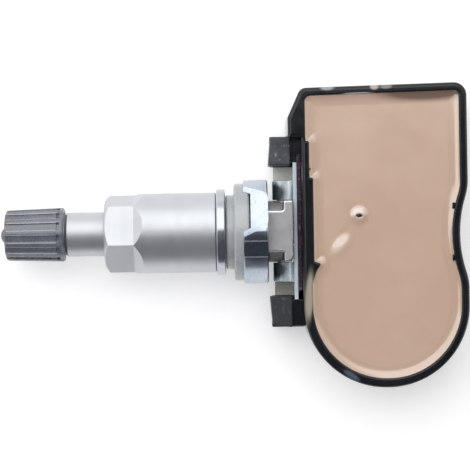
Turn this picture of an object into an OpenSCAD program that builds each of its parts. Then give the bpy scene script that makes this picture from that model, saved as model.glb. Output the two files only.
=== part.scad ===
/* [Valve stem] */
// Outside diameter of the valve thread and of the plain neck
thread_d = 7.7; // [7.5:0.05:8]
// Distance from the rim seat to the open tip of the stem
stem_reach = 38.6; // [38:0.1:42]
// Length of the cap thread, measured from the tip
cap_thread_len = 8.5; // [7:0.1:9]
// Width of the relief groove behind the cap thread
relief_w = 0.7; // [0.5:0.1:1]
// Depth of the relief groove
relief_depth = 0.45; // [0.3:0.05:0.6]
// Chamfer at the tip and at the start of the neck
stem_chamfer = 0.4; // [0.2:0.05:0.6]
// Diameter of the air passage behind the valve core
air_bore_d = 2.6; // [2:0.1:3]
// Diameter of the cross hole that lets the air out behind the collar
air_vent_d = 1.4; // [1:0.1:1.4]

/* [Valve core] */
// Diameter of the core thread in the mouth of the stem
core_thread_d = 5.2; // [5:0.05:5.4]
// Length of the threaded core plug
core_plug_len = 3.8; // [3:0.1:4.5]
// Depth of the plug's outer face below the tip
core_recess = 0.8; // [0.6:0.1:1.5]
// Outside diameter of the core barrel
barrel_d = 3.4; // [3:0.1:3.6]
// Length of the core from its outer face to the valve seat
core_len = 15.8; // [14:0.1:18]
// Diameter of the core pin
core_pin_d = 0.9; // [0.7:0.05:1]
// Travel of the core pin, for which the stem's well leaves room
core_stroke = 1.5; // [1:0.1:2]
// Room in the well behind the open core
core_room = 2; // [1:0.5:4]
// Thickness of the wall at the core's seat
core_seat_t = 1; // [0.8:0.1:1.4]
// Thickness of the core's sealing ring at its root
core_ring_t = 0.3; // [0.2:0.05:0.35]
// Depth of the recess in the head of the core plug
core_head_depth = 1.6; // [1.2:0.1:2]
// Diameter of the recess in the head of the core plug
core_head_d = 2.5; // [2.2:0.1:2.8]
// Width of the driver slot across the plug
core_slot_w = 1; // [0.8:0.1:1.2]
// Length of the cone that the core's sealing ring sits on
core_ring_len = 1.2; // [1:0.1:1.5]
// Wire diameter of the core spring
spring_wire_d = 0.24; // [0.2:0.01:0.3]
// Turns of the core spring
spring_turns = 7; // [5:1:9]

/* [Cap] */
// Length of the cap without its nub
cap_len = 10.5; // [10:0.1:12]
// Wall of the cap round the thread at its mouth
cap_wall = 0.8; // [0.7:0.05:1.1]
// Narrowing of the cap's radius from its mouth to its crown
cap_taper = 0.25; // [0.1:0.05:0.3]
// Rounding of the crown edge
cap_round = 0.9; // [0.5:0.1:1.2]
// Gripping grooves round the cap
cap_grooves = 13; // [8:1:14]
// Width of a gripping groove
cap_groove_w = 1.2; // [0.8:0.05:1.3]
// Depth of a gripping groove
cap_groove_depth = 0.35; // [0.2:0.05:0.4]
// Depth of the small notch at the mouth end of a groove
cap_notch_depth = 0.6; // [0.45:0.05:0.7]
// Length of the small notch
cap_notch_len = 0.55; // [0.3:0.05:0.7]
// Width of the plain band at the mouth
cap_band_w = 1.2; // [0.9:0.1:1.6]
// Turn of the cap, so that its grooves stand as they do
cap_turn = 19; // [0:1:30]
// Diameter of the round nub on the crown
cap_nub_d = 2.6; // [1.5:0.1:3]
// Height of the nub over the crown
cap_nub_h = 0.7; // [0.4:0.05:0.9]
// Thickness of the sealing disc in the cap
cap_seal_t = 0.5; // [0.4:0.05:0.8]

/* [Sleeve nut] */
// Width across the nut's flats
nut_flats = 12; // [11.5:0.1:12.5]
// Diameter of the nut's round sleeve
nut_d = 13.94; // [13.7:0.02:14.4]
// Overall length of the nut
nut_len = 19.35; // [18:0.05:20]
// Length of the flats from the nut's outer end to their run-out
nut_flat_len = 5.1; // [4:0.1:7]
// Slope of the flats' run-out
nut_runout = 31; // [25:1:45]
// Turn of the nut, so that its flats face as they stand
nut_turn = 13; // [0:1:60]
// Length of the cone on the nut's outer end
nut_cone_len = 0.85; // [0.5:0.05:1.2]
// Diameter of the flat outer end of the nut
nut_face_d = 11.6; // [11:0.1:12]

/* [Seat] */
// Diameter of the washer under the nut
washer_d = 15.1; // [14.5:0.1:16]
// Thickness of the washer
washer_t = 1.6; // [1.2:0.05:1.8]
// Diameter of the grommet's neck in the valve hole
grommet_neck_d = 13; // [12:0.1:13.5]
// Length of the grommet's neck
grommet_neck_len = 1.4; // [1:0.05:2]
// Diameter of the grommet's flange
grommet_d = 17; // [16.5:0.1:17.2]
// Thickness of the grommet's flange
grommet_t = 2.7; // [2.3:0.05:2.85]
// Wall of the grommet's spigot in the collar
grommet_spigot_t = 1.5; // [1.2:0.1:1.8]
// Length of the collar
collar_len = 4.27; // [4:0.01:5]
// Wall of the collar round the grommet
collar_wall = 0.5; // [0.4:0.05:0.6]
// Distance from the rim seat to the collar's open edge
collar_start = 1.66; // [1.4:0.02:1.8]
// Depth of the collar's cup
collar_cup = 1.24; // [1:0.02:1.5]
// Distance of the collar's ramp from the axis at the cup's mouth
ramp_low = 7.6; // [7.2:0.05:8]
// Slope of the ramp along the axis
ramp_slope = 13; // [8:1:18]
// Turn of the ramp round the axis
ramp_turn = 27; // [0:1:90]

/* [Foot and hinge] */
// Diameter of the round foot behind the collar
foot_d = 10.7; // [10:0.1:10.9]
// Distance from the collar's back to the hinge axis
hinge_reach = 2.62; // [2.4:0.02:3]
// Diameter of the hinge pin
hinge_pin_d = 2; // [1.8:0.05:2.1]
// Width of the foot between the bracket's knuckles
foot_knuckle_w = 10.65; // [9.5:0.05:11]
// Height of the foot's T boss over the axis
boss_top = 5.6; // [5.45:0.05:5.65]
// Width of the T boss's stem
boss_neck_w = 7.2; // [6:0.1:8]
// Radius of the T boss's lower corner
boss_corner_r = 1.2; // [0.6:0.1:1.5]
// Radius of the foot's own knuckle between the bracket's knuckles
foot_knuckle_r = 1.5; // [1.3:0.05:1.5]
// Swing of the housing towards its potted side, which the T boss clears
swing_up = 12; // [5:1:12]

/* [Bracket] */
// Thickness of the bracket's sheet
sheet_t = 0.7; // [0.6:0.05:0.75]
// Width of the bracket's back plate
bracket_w = 23.8; // [23:0.1:24.4]
// Top of the back plate over the hinge axis
bracket_top = 2.9; // [2.4:0.05:3]
// Depth of the bracket's feet below the hinge axis
bracket_low = 5.2; // [4.9:0.05:5.4]
// Width of a rolled knuckle
knuckle_w = 3.3; // [2.8:0.05:3.4]
// Reach of the bracket's feet in front of the back plate
foot_reach = 3.1; // [2.5:0.05:3.2]
// Thickness of the damping strip behind the bracket
strip_t = 0.75; // [0.7:0.05:0.8]
// Height of the damping strip's upper end beside the axis
strip_up = 13.4; // [13:0.1:13.8]
// Height of the damping strip's lower end beside the axis
strip_down = 10.4; // [9.5:0.1:11]

/* [Housing] */
// Distance from the rim seat to the housing's front wall
housing_front = 11.8; // [11.78:0.01:11.9]
// Distance from the valve axis to the housing's upper edge
housing_up = 24.9; // [24.5:0.1:26]
// Fall of the housing's upper edge towards the front
edge_fall = 0.6; // [0:0.1:1]
// Height of the housing's rim over the valve axis
rim_top = 6.5; // [6:0.1:7]
// Depth of the housing's underside below the valve axis
base_depth = 9.2; // [9.1:0.05:10]
// Thickness of the housing's side wall
wall_t = 1.4; // [1.2:0.05:1.6]
// Thickness of the wall round the cell
end_wall_t = 1.6; // [1.4:0.05:1.7]
// Thickness of the front wall behind the damping strip
front_wall_t = 1.95; // [1.7:0.05:2.1]
// Thickness of the housing's floor
floor_t = 1.5; // [1.2:0.05:1.8]
// Depth of the waist in the far wall
waist_depth = 1.45; // [0.8:0.05:1.8]
// Radius of the waist
waist_r = 21.5; // [16:0.5:24]
// Radius of the shoulders beside the waist
shoulder_r = 10; // [6:0.5:12]
// Distance of the waist's middle below the valve axis
waist_down = 1; // [0:0.1:2]
// Rounding of the housing's upper far corner
corner_r = 2.2; // [1.5:0.1:3]
// Rounding along the housing's underside
base_round = 1.1; // [0.6:0.1:1.2]
// Rounding along the top of the rim
rim_round = 0.7; // [0.4:0.1:0.8]
// Height of the clip posts over the valve axis
clip_top = 3.2; // [3:0.05:3.3]
// Front of the clip posts
clip_front = 6.15; // [6.05:0.05:6.6]
// Thickness of a clip post
clip_t = 3.05; // [2.6:0.05:3.2]
// Hold of the clips over the bracket's ends
clip_hold = 0.45; // [0.3:0.05:0.6]
// Lean of the clips' front corners
clip_lean = 0.4; // [0.2:0.1:0.8]
// Extra height of the lower clip
lower_clip_extra = 0.6; // [0:0.1:1]
// Height of the slope at the upper front corner
slope_drop = 5.4; // [4.5:0.1:6]
// Reach of the slope in front of the front wall
slope_run = 2.3; // [1.8:0.1:2.5]
// Height of the straight step between the slope and the upper clip
step_h = 3.4; // [3:0.1:4]
// Step in the pocket's front wall
ledge = 0.62; // [0.4:0.02:0.65]
// Height of the lower step beside the axis
ledge_up = 9.1; // [8:0.1:10]
// Distance of the pocket's prong below the axis
prong_down = 5.3; // [5:0.1:6]
// Reach of the prong into the pocket
prong_reach = 1.15; // [0.8:0.05:1.5]
// Thickness of the prong
prong_t = 1.6; // [1.2:0.1:2]
// Height of the slope below the prong
prong_foot = 2.1; // [1.5:0.1:3]
// Diameter of the posts under the circuit board
post_d = 2.6; // [2:0.1:3]

/* [Electronics] */
// Level of the potting over the valve axis
potting_top = 5.7; // [5.4:0.05:5.9]
// Diameter of the coin cell
cell_d = 24.5; // [24:0.1:24.5]
// Thickness of the coin cell
cell_t = 5; // [4.8:0.1:5.2]
// Step from the coin cell's can in to its lid
cell_step = 1.2; // [0.8:0.1:1.6]
// Gap between the coin cell and the walls beside it
cell_room = 0.55; // [0.4:0.05:0.8]
// Distance of the coin cell's middle below the valve axis
cell_down = 12.95; // [12.5:0.05:14]
// Thickness of the circuit board
board_t = 1; // [0.8:0.1:1.6]
// Gap between the cell and the board
board_gap = 1.1; // [0.9:0.1:1.4]
// Distance of the board from the pocket's front wall
board_in = 1.6; // [1:0.1:2]
// Distance of the board from the pocket's other walls
board_play = 0.8; // [0.5:0.1:1.2]
// Distance from the board's front edge to the parts beside it
part_margin = 1.6; // [1:0.1:2.5]
// Gap between neighbouring parts on the board
part_gap = 1; // [0.6:0.1:1.5]
// Thickness of the cell's welded tabs
tab_t = 0.2; // [0.15:0.05:0.3]
// Width of the cell's welded tabs
tab_w = 3; // [2:0.5:4]
// Distance of the pressure port from the rim seat
port_x = 21.6; // [20:0.1:24]
// Distance of the pressure port above the valve axis
port_y = 2.45; // [1:0.05:4]
// Diameter of the pressure port's tube
port_d = 1.8; // [1.4:0.1:2.4]
// Bore of the pressure port's tube
port_bore = 0.7; // [0.5:0.1:1]
// Side of the square pressure sensor
sensor_w = 5; // [4:0.5:6]
// Height of the pressure sensor
sensor_h = 2; // [1.6:0.1:2.4]
// Thickness of the sensor under its port
sensor_floor = 1; // [0.8:0.1:1.2]
// Side of the square control chip
chip_w = 5; // [4:0.5:6]
// Height of the control chip
chip_h = 0.9; // [0.7:0.1:1.2]
// Length of the crystal's can
crystal_l = 3.2; // [2.5:0.1:5]
// Width of the crystal's can
crystal_w = 2.5; // [2:0.1:3.2]
// Height of the crystal's can
crystal_h = 0.8; // [0.6:0.1:1.2]
// Length of the wake-up coil
coil_l = 8; // [6:0.5:9]
// Width of the wake-up coil
coil_w = 3; // [2.6:0.1:3.6]
// Height of the wake-up coil
coil_h = 2.8; // [2.6:0.1:3.4]
// Length of the flanges at the coil's ends
coil_flange = 1.5; // [1:0.1:2]
// Thickness of the coil's winding
winding_t = 0.4; // [0.3:0.05:0.6]
// Radius of the antenna's loop over the cell
antenna_r = 9.4; // [8:0.1:10]
// Thickness of the antenna's strip
antenna_t = 0.6; // [0.4:0.1:0.8]
// Height of the antenna's strip
antenna_h = 1.4; // [1:0.1:2]
// Angle that the antenna's loop spans
antenna_turn = 230; // [180:5:270]
// Length of a capacitor
capacitor_l = 2; // [1:0.2:2.4]
// Width of a capacitor
capacitor_w = 1; // [0.6:0.1:1.3]
// Gap between two capacitors
capacitor_gap = 0.9; // [0.6:0.1:1.2]
// Height of a capacitor
capacitor_h = 0.8; // [0.5:0.1:1]
// Capacitors in the row beside the sensor
capacitor_count = 5; // [3:1:6]

/* [Clearances] */
// Play between parts that slide or turn on each other, on the radius
run_gap = 0.05; // [0.03:0.01:0.08]
// Play between the faces of parts that turn against each other
face_gap = 0.05; // [0.03:0.01:0.1]
// Play between pieces that are pressed or cast together
bond_gap = 0.02; // [0.01:0.01:0.03]
// Play between the foot and the ends of the bracket's knuckles
turn_gap = 0.12; // [0.08:0.01:0.2]
// Room that the T boss leaves over the swung bracket
swing_gap = 0.3; // [0.2:0.05:0.4]

/* [Hidden] */
$fn = 72;
// How far a cut runs past the surface that it opens
cut = 1;
// Straight left between two rounded corners
arc_gap = 0.15;
// Room between the bracket's feet and their neighbours
wing_gap = 0.2;
thread_r = thread_d / 2;
tip_x = -stem_reach;
bore_r = thread_r + run_gap;

neck_x = tip_x + cap_thread_len + relief_w;
washer_x = -grommet_neck_len - face_gap - washer_t;
nut_x = washer_x - face_gap - nut_len;
cap_mouth_x = neck_x - stem_chamfer / 2;
cap_mouth_r = bore_r + cap_wall;
cap_crown_r = cap_mouth_r - cap_taper;
cap_crown_x = cap_mouth_x - cap_len;
cup_floor_x = collar_start + collar_cup;
cup_r = grommet_d / 2 + run_gap;
collar_r = cup_r + collar_wall;
collar_back_x = collar_start + collar_len;
hinge_x = collar_back_x + hinge_reach;
knuckle_r = hinge_pin_d / 2 + run_gap + sheet_t;
knuckle_in = foot_d / 2 + turn_gap;
knuckle_out = knuckle_in + knuckle_w;
plate_x = housing_front - strip_t - sheet_t;
boss_face_x = plate_x - run_gap;
boss_low = (housing_front - hinge_x) * sin(swing_up) + bracket_top * cos(swing_up) + swing_gap;

core_face_x = tip_x + core_recess;
core_seat_x = core_face_x + core_len;
core_neck_x = core_face_x + core_plug_len;
core_bore_r = core_thread_d / 2;
cone_x = core_neck_x + 0.8;
cone_end_x = cone_x + core_ring_len;
plug_r = core_bore_r - run_gap;
well_play = 0.2;
ring_seat_r = barrel_d / 2 - core_ring_t;
well_r = barrel_d / 2 + well_play;
chamber_wall = 0.4;
chamber_r = barrel_d / 2 - chamber_wall;
chamber_x = cone_end_x + chamber_wall;
chamber_end_x = core_seat_x - core_seat_t;
pin_r = core_pin_d / 2;
pin_tip_x = tip_x + core_recess / 2;
pin_head_t = 0.5;
pin_head_rim = 0.4;
pin_collar_t = 0.4;
pin_collar_gap = 0.2;
pin_tail = 0.5;
cup_t = 1.3;
well_end_x = core_seat_x + cup_t + pin_tail + core_stroke + core_room;
vent_past = 0.9;
air_end_x = collar_back_x + vent_past;
spring_guide = 0.9;
spring_x = chamber_x + spring_guide;

pocket_front = housing_front + front_wall_t;
pocket_left = housing_front + end_wall_t;
cell_x = pocket_left + cell_room + cell_d / 2;
cell_y = -cell_down;
pocket_right = cell_x + cell_d / 2 + cell_room;
pocket_r = (pocket_right - pocket_left) / 2 - arc_gap;
pocket_low = cell_y - pocket_r;
housing_back = pocket_right + wall_t;
housing_down = end_wall_t - pocket_low;
end_r = (housing_back - housing_front) / 2 - arc_gap;
floor_z = -base_depth + floor_t;
cell_top = floor_z + cell_t;
board_z = cell_top + board_gap;
board_top = board_z + board_t;
waist_angle = acos(1 - waist_depth / (waist_r + shoulder_r));
waist_half = (waist_r + shoulder_r) * sin(waist_angle) - shoulder_r * tan(waist_angle / 2);
clip_outer_y = housing_up - slope_drop - step_h;
clip_inner_y = bracket_w / 2 - clip_hold;
board_left = pocket_front + board_in;
board_right = pocket_right - board_play;
board_up = housing_up - wall_t - board_play;
chip_x = board_right - chip_w / 2 - 3 * part_margin;
chip_y = port_y + sensor_w / 2 + chip_w / 2 + part_gap;
crystal_y = chip_y + chip_w / 2 + crystal_w / 2 + 2 * part_gap;
coil_x = board_left + coil_l / 2 + part_margin;
coil_y = board_up - coil_w / 2 - post_d - part_margin;
capacitor_x = board_left + capacitor_w / 2 + part_margin;
capacitor_y = port_y + sensor_w / 2 + capacitor_l / 2 + 3 * part_gap;
capacitor_pitch = capacitor_w + capacitor_gap;
capacitor_room = chip_x - chip_w / 2 - part_gap - capacitor_w / 2 - capacitor_x;
capacitors_placed = min(capacitor_count, 1 + floor(capacitor_room / capacitor_pitch));

// Unit direction from corner p to corner q
function heading(p, q) = let (d = [q[0] - p[0], q[1] - p[1]]) d / norm(d);

// One rounded corner of an anticlockwise outline, moved inwards by inset
function corner_arc(p, c, q, inset) =
    let (u = heading(p, c), v = heading(c, q))
    let (side = u[0] * v[1] - u[1] * v[0] > 0 ? 1 : -1)
    let (nu = [-u[1], u[0]], nv = [-v[1], v[0]])
    let (tip = [c[0], c[1]] + inset * (nu + nv) / (1 + nu * nv))
    let (r = max(c[2] - side * inset, 0.1), turn = acos(u * v))
    let (start = tip - r * tan(turn / 2) * u, middle = start + side * r * nu)
    let (from = atan2(start[1] - middle[1], start[0] - middle[0]))
    let (steps = max(2, round(turn / (c[2] > 5 ? 5 : 22))))
    [for (k = [0 : steps]) let (a = from + side * turn * k / steps) middle + r * [cos(a), sin(a)]];

// Outline through rounded corners [x, y, radius], anticlockwise, moved inwards by inset
function rounded(corners, inset = 0) =
    let (n = len(corners))
    [for (i = [0 : n - 1])
        each corner_arc(corners[(i + n - 1) % n], corners[i], corners[(i + 1) % n], inset)];

// Corners of the far wall, moved inwards by inset, from the round end up to the far corner
function far_corners(inset) =
    let (x = housing_back - inset, bend = inset * tan(waist_angle / 2))
    [[x, -waist_down - waist_half - bend, shoulder_r - inset - arc_gap],
     [x - (waist_half + bend) * tan(waist_angle), -waist_down, waist_r + inset - arc_gap],
     [x, -waist_down + waist_half + bend, shoulder_r - inset - arc_gap],
     [x, housing_up + edge_fall / 2 - inset, corner_r - inset]];

// Corners of the housing's outside
function outside_corners() =
    concat([[housing_front, housing_up - edge_fall / 2, 1.5],
            [housing_front - slope_run, housing_up - slope_drop, 0.8],
            [housing_front - slope_run, clip_outer_y, 0.4],
            [housing_front, clip_outer_y, 0.3],
            [housing_front, -housing_down, end_r],
            [housing_back, -housing_down, end_r]],
           far_corners(0));

// Corners of the pocket that holds the electronics
function pocket_corners() =
    let (upper_x = pocket_front - 2 * ledge, middle_x = pocket_front - ledge)
    let (upper_y = clip_outer_y - wall_t / 2)
    concat([[upper_x, housing_up - wall_t - edge_fall / 2, 1],
            [upper_x, upper_y, 0.25],
            [middle_x, upper_y, 0.25],
            [middle_x, ledge_up, 0.25],
            [pocket_front, ledge_up, 0.25],
            [pocket_front, -prong_down, 0.2],
            [pocket_front + prong_reach, -prong_down - 0.4, 0.2],
            [pocket_front + 0.4, -prong_down - prong_t, 0.4],
            [pocket_left, -prong_down - prong_t - prong_foot, 0.5],
            [pocket_left, pocket_low, pocket_r],
            [pocket_right, pocket_low, pocket_r]],
           far_corners(wall_t));

// Solid turned about the X axis, from points [radius, x]
module turned(points) {
    rotate([0, 90, 0])
        rotate_extrude()
            polygon(points);
}

// Round bar along the X axis
module bar_x(x0, x1, r) {
    translate([x0, 0, 0])
        rotate([0, 90, 0])
            cylinder(h = x1 - x0, r = r);
}

// Round bar along the Y axis through the hinge line
module bar_y(y0, y1, r) {
    translate([hinge_x, y1, 0])
        rotate([90, 0, 0])
            cylinder(h = y1 - y0, r = r);
}

// Block between two corners
module block(low, high) {
    translate(low)
        cube(high - low);
}

// Solid skinned over one outline at several levels [inset, z]
module skinned(corners, levels) {
    rings = [for (l = levels) [for (p = rounded(corners, l[0])) [p[0], p[1], l[1]]]];
    n = len(rings[0]);
    last = len(levels) - 1;
    sides = [for (i = [0 : last - 1]) for (k = [0 : n - 1])
        [i * n + k, (i + 1) * n + k, (i + 1) * n + (k + 1) % n, i * n + (k + 1) % n]];
    lower = [for (k = [0 : n - 1]) k];
    upper = [for (k = [n - 1 : -1 : 0]) last * n + k];
    polyhedron(points = [for (r = rings) each r], faces = concat([lower, upper], sides), convexity = 8);
}

// T boss of the foot, seen from above
module boss_outline() {
    translate([collar_back_x, -boss_neck_w / 2])
        square([hinge_reach + 0.2, boss_neck_w]);
    difference() {
        translate([hinge_x, -foot_knuckle_w / 2])
            square([boss_face_x - hinge_x, foot_knuckle_w]);
        translate([boss_face_x - boss_corner_r, -foot_knuckle_w / 2])
            difference() {
                translate([0, -cut])
                    square([boss_corner_r + cut, boss_corner_r + cut]);
                translate([0, boss_corner_r])
                    circle(r = boss_corner_r);
            }
    }
}

module valve_stem() {
    color("silver")
    difference() {
        union() {
            turned([[0, tip_x], [thread_r - stem_chamfer, tip_x], [thread_r, tip_x + stem_chamfer],
                    [thread_r, tip_x + cap_thread_len], [thread_r - relief_depth, tip_x + cap_thread_len],
                    [thread_r - relief_depth, neck_x], [thread_r, neck_x + stem_chamfer],
                    [thread_r, collar_back_x], [foot_d / 2 - 0.2, collar_back_x],
                    [foot_d / 2, collar_back_x + 0.2],
                    [foot_d / 2, hinge_x - 0.2], [foot_d / 2 - 0.2, hinge_x], [0, hinge_x]]);
            bar_y(-foot_knuckle_w / 2, foot_knuckle_w / 2, foot_knuckle_r);
            translate([0, 0, boss_low])
                linear_extrude(boss_top - boss_low)
                    boss_outline();
        }
        bar_y(-foot_knuckle_w, foot_knuckle_w, hinge_pin_d / 2 + bond_gap);
        turned([[0, tip_x - cut], [core_bore_r, tip_x - cut], [core_bore_r, cone_x], [well_r, cone_end_x],
                [well_r, well_end_x], [air_bore_d / 2, well_end_x + 1], [air_bore_d / 2, air_end_x],
                [0, air_end_x]]);
        translate([collar_back_x + air_vent_d / 2 + 0.1, 0, -foot_d])
            cylinder(h = foot_d, d = air_vent_d);
    }
}

module core_body() {
    color("goldenrod")
    difference() {
        turned([[0, core_face_x], [plug_r - 0.2, core_face_x], [plug_r, core_face_x + 0.2],
                [plug_r, core_neck_x], [ring_seat_r, core_neck_x], [ring_seat_r, cone_end_x],
                [barrel_d / 2, cone_end_x], [barrel_d / 2, core_seat_x - 0.3],
                [ring_seat_r, core_seat_x], [0, core_seat_x]]);
        bar_x(core_face_x - cut, core_seat_x + cut, pin_r + 0.17);
        bar_x(core_face_x - cut, core_face_x + core_head_depth, core_head_d / 2);
        bar_x(chamber_x, chamber_end_x, chamber_r);
        block([core_face_x - cut, -core_slot_w / 2, -core_bore_r],
              [core_face_x + core_head_depth - 0.4, core_slot_w / 2, core_bore_r]);
    }
}

module core_ring() {
    color("white")
    turned([[ring_seat_r + bond_gap, core_neck_x + bond_gap], [plug_r - 0.2, core_neck_x + bond_gap],
            [plug_r - 0.2, cone_x + 0.1], [well_r - 0.1, cone_end_x - bond_gap],
            [ring_seat_r + bond_gap, cone_end_x - bond_gap]]);
}

module core_pin() {
    head_r = pin_r + pin_head_rim;
    collar_r = chamber_r - pin_collar_gap;
    tail_x = core_seat_x + cup_t + pin_tail;
    color("goldenrod")
    turned([[0, pin_tip_x], [head_r - 0.1, pin_tip_x], [head_r, pin_tip_x + 0.1],
            [head_r, pin_tip_x + pin_head_t - 0.1], [pin_r, pin_tip_x + pin_head_t],
            [pin_r, spring_x - pin_collar_t], [collar_r, spring_x - pin_collar_t],
            [collar_r, spring_x], [pin_r, spring_x], [pin_r, tail_x], [0, tail_x]]);
}

module core_cup() {
    color("dimgray")
    turned([[pin_r + bond_gap, core_seat_x + bond_gap], [barrel_d / 2 - 0.35, core_seat_x + bond_gap],
            [barrel_d / 2 - 0.2, core_seat_x + 0.2], [barrel_d / 2 - 0.2, core_seat_x + cup_t - 0.3],
            [barrel_d / 2 - 0.6, core_seat_x + cup_t], [pin_r + bond_gap, core_seat_x + cup_t]]);
}

// Coil spring swept along its helix
module core_spring() {
    sides = 6;
    per_turn = 12;
    wire_r = spring_wire_d / 2;
    helix_r = chamber_r - 0.08 - wire_r;
    length = chamber_end_x - spring_x - 2 * wire_r - 2 * bond_gap;
    steps = spring_turns * per_turn;
    points = [for (k = [0 : steps]) let (a = 360 * k / per_turn)
        for (j = [0 : sides - 1]) let (b = 360 * j / sides, r = helix_r + wire_r * cos(b))
            [spring_x + wire_r + bond_gap + length * k / steps + wire_r * sin(b), r * cos(a), r * sin(a)]];
    tube = [for (k = [0 : steps - 1]) for (j = [0 : sides - 1]) let (a = k * sides, b = (j + 1) % sides)
        [a + j, a + sides + j, a + sides + b, a + b]];
    first = [for (j = [0 : sides - 1]) j];
    end = [for (j = [sides - 1 : -1 : 0]) steps * sides + j];
    color("lightgray")
    polyhedron(points = points, faces = concat([first, end], tube), convexity = 10);
}

module cap() {
    pitch = 360 / cap_grooves;
    mouth_edge = 0.25;
    lead_in = 0.3;
    color("slategray")
    difference() {
        union() {
            turned([[0, cap_crown_x], [cap_crown_r - cap_round, cap_crown_x],
                    [cap_crown_r - cap_round * 0.62, cap_crown_x + cap_round * 0.08],
                    [cap_crown_r - cap_round * 0.29, cap_crown_x + cap_round * 0.29],
                    [cap_crown_r - cap_round * 0.08, cap_crown_x + cap_round * 0.62],
                    [cap_crown_r, cap_crown_x + cap_round],
                    [cap_mouth_r, cap_mouth_x - cap_band_w],
                    [cap_mouth_r, cap_mouth_x - mouth_edge],
                    [cap_mouth_r - mouth_edge, cap_mouth_x], [0, cap_mouth_x]]);
            turned([[0, cap_crown_x - cap_nub_h], [cap_nub_d * 0.2, cap_crown_x - cap_nub_h * 0.93],
                    [cap_nub_d * 0.37, cap_crown_x - cap_nub_h * 0.68],
                    [cap_nub_d * 0.46, cap_crown_x - cap_nub_h * 0.35], [cap_nub_d / 2, cap_crown_x],
                    [cap_nub_d / 2, cap_crown_x + cap_round], [0, cap_crown_x + cap_round]]);
        }
        bar_x(tip_x - face_gap * 2 - cap_seal_t, cap_mouth_x + cut, bore_r);
        turned([[0, cap_mouth_x - lead_in], [bore_r, cap_mouth_x - lead_in],
                [bore_r + 2 * lead_in, cap_mouth_x + lead_in], [0, cap_mouth_x + lead_in]]);
        for (k = [0 : cap_grooves - 1])
            rotate([-cap_turn - k * pitch, 0, 0])
                translate([0, cap_groove_w / 2, 0])
                    rotate([90, 0, 0])
                        linear_extrude(cap_groove_w)
                            cap_groove();
    }
}

// Length profile of a gripping groove, with the deeper notch at its mouth end
module cap_groove() {
    band_x = cap_mouth_x - cap_band_w;
    floor_r = cap_mouth_r - cap_groove_depth;
    slope = cap_taper / (cap_len - cap_band_w);
    start_x = cap_crown_x - cut;
    polygon([[start_x, floor_r - slope * (band_x - start_x)], [band_x - 0.05, floor_r],
             [band_x, cap_mouth_r - cap_notch_depth],
             [band_x + cap_notch_len, cap_mouth_r - cap_notch_depth],
             [band_x + cap_notch_len, 2 * cap_mouth_r], [start_x, 2 * cap_mouth_r]]);
}

module cap_seal() {
    color("black")
    bar_x(tip_x - face_gap - cap_seal_t, tip_x - face_gap, thread_r - 0.2);
}

module sleeve_nut() {
    end_x = nut_x + nut_len;
    runout_x = nut_x + nut_flat_len;
    slope_l = nut_d / 4;
    color("gainsboro")
    difference() {
        turned([[bore_r, nut_x], [nut_face_d / 2, nut_x], [nut_d / 2, nut_x + nut_cone_len],
                [nut_d / 2, end_x - 0.15], [nut_d / 2 - 0.15, end_x], [bore_r, end_x]]);
        for (k = [0 : 5])
            rotate([-nut_turn - 60 * k, 0, 0])
                translate([0, nut_d / 2, 0])
                    rotate([90, 0, 0])
                        linear_extrude(nut_d)
                            polygon([[nut_x - cut, nut_flats / 2], [runout_x, nut_flats / 2],
                                     [runout_x + slope_l, nut_flats / 2 + slope_l * tan(nut_runout)],
                                     [nut_x - cut, nut_flats / 2 + slope_l * tan(nut_runout)]]);
    }
}

module washer() {
    color("whitesmoke")
    turned([[bore_r, washer_x], [washer_d / 2 - 0.2, washer_x], [washer_d / 2, washer_x + 0.2],
            [washer_d / 2, washer_x + washer_t - 0.2], [washer_d / 2 - 0.2, washer_x + washer_t],
            [bore_r, washer_x + washer_t]]);
}

module grommet() {
    spigot_r = thread_r + grommet_spigot_t;
    color("gray")
    turned([[thread_r + bond_gap, -grommet_neck_len], [grommet_neck_d / 2 - 0.2, -grommet_neck_len],
            [grommet_neck_d / 2, -grommet_neck_len + 0.2], [grommet_neck_d / 2, 0],
            [grommet_d / 2 - 0.3, 0], [grommet_d / 2, 0.3],
            [grommet_d / 2, grommet_t - 0.3], [grommet_d / 2 - 0.3, grommet_t],
            [spigot_r, grommet_t], [spigot_r, cup_floor_x - bond_gap],
            [thread_r + bond_gap, cup_floor_x - bond_gap]]);
}

module collar() {
    color("lightsteelblue")
    difference() {
        turned([[thread_r + bond_gap, cup_floor_x], [cup_r, cup_floor_x], [cup_r, collar_start],
                [collar_r - 0.15, collar_start], [collar_r, collar_start + 0.15],
                [collar_r, collar_back_x - 0.2], [collar_r - 0.2, collar_back_x - bond_gap],
                [thread_r + bond_gap, collar_back_x - bond_gap]]);
        rotate([-ramp_turn, 0, 0])
            translate([collar_start, -collar_r, ramp_low])
                rotate([0, -ramp_slope, 0])
                    translate([-collar_r, 0, 0])
                        cube([4 * collar_r, 2 * collar_r, collar_r]);
    }
}

module hinge_pin() {
    color("darkgray")
    bar_y(-knuckle_out, knuckle_out, hinge_pin_d / 2);
}

// One rolled knuckle of the bracket with the tongue that carries it
module knuckle() {
    difference() {
        union() {
            bar_y(knuckle_in, knuckle_out, knuckle_r);
            block([hinge_x, knuckle_in, -knuckle_r],
                  [plate_x + sheet_t, knuckle_out, -knuckle_r + sheet_t]);
        }
        bar_y(0, knuckle_out + cut, hinge_pin_d / 2 + run_gap);
    }
}

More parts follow.
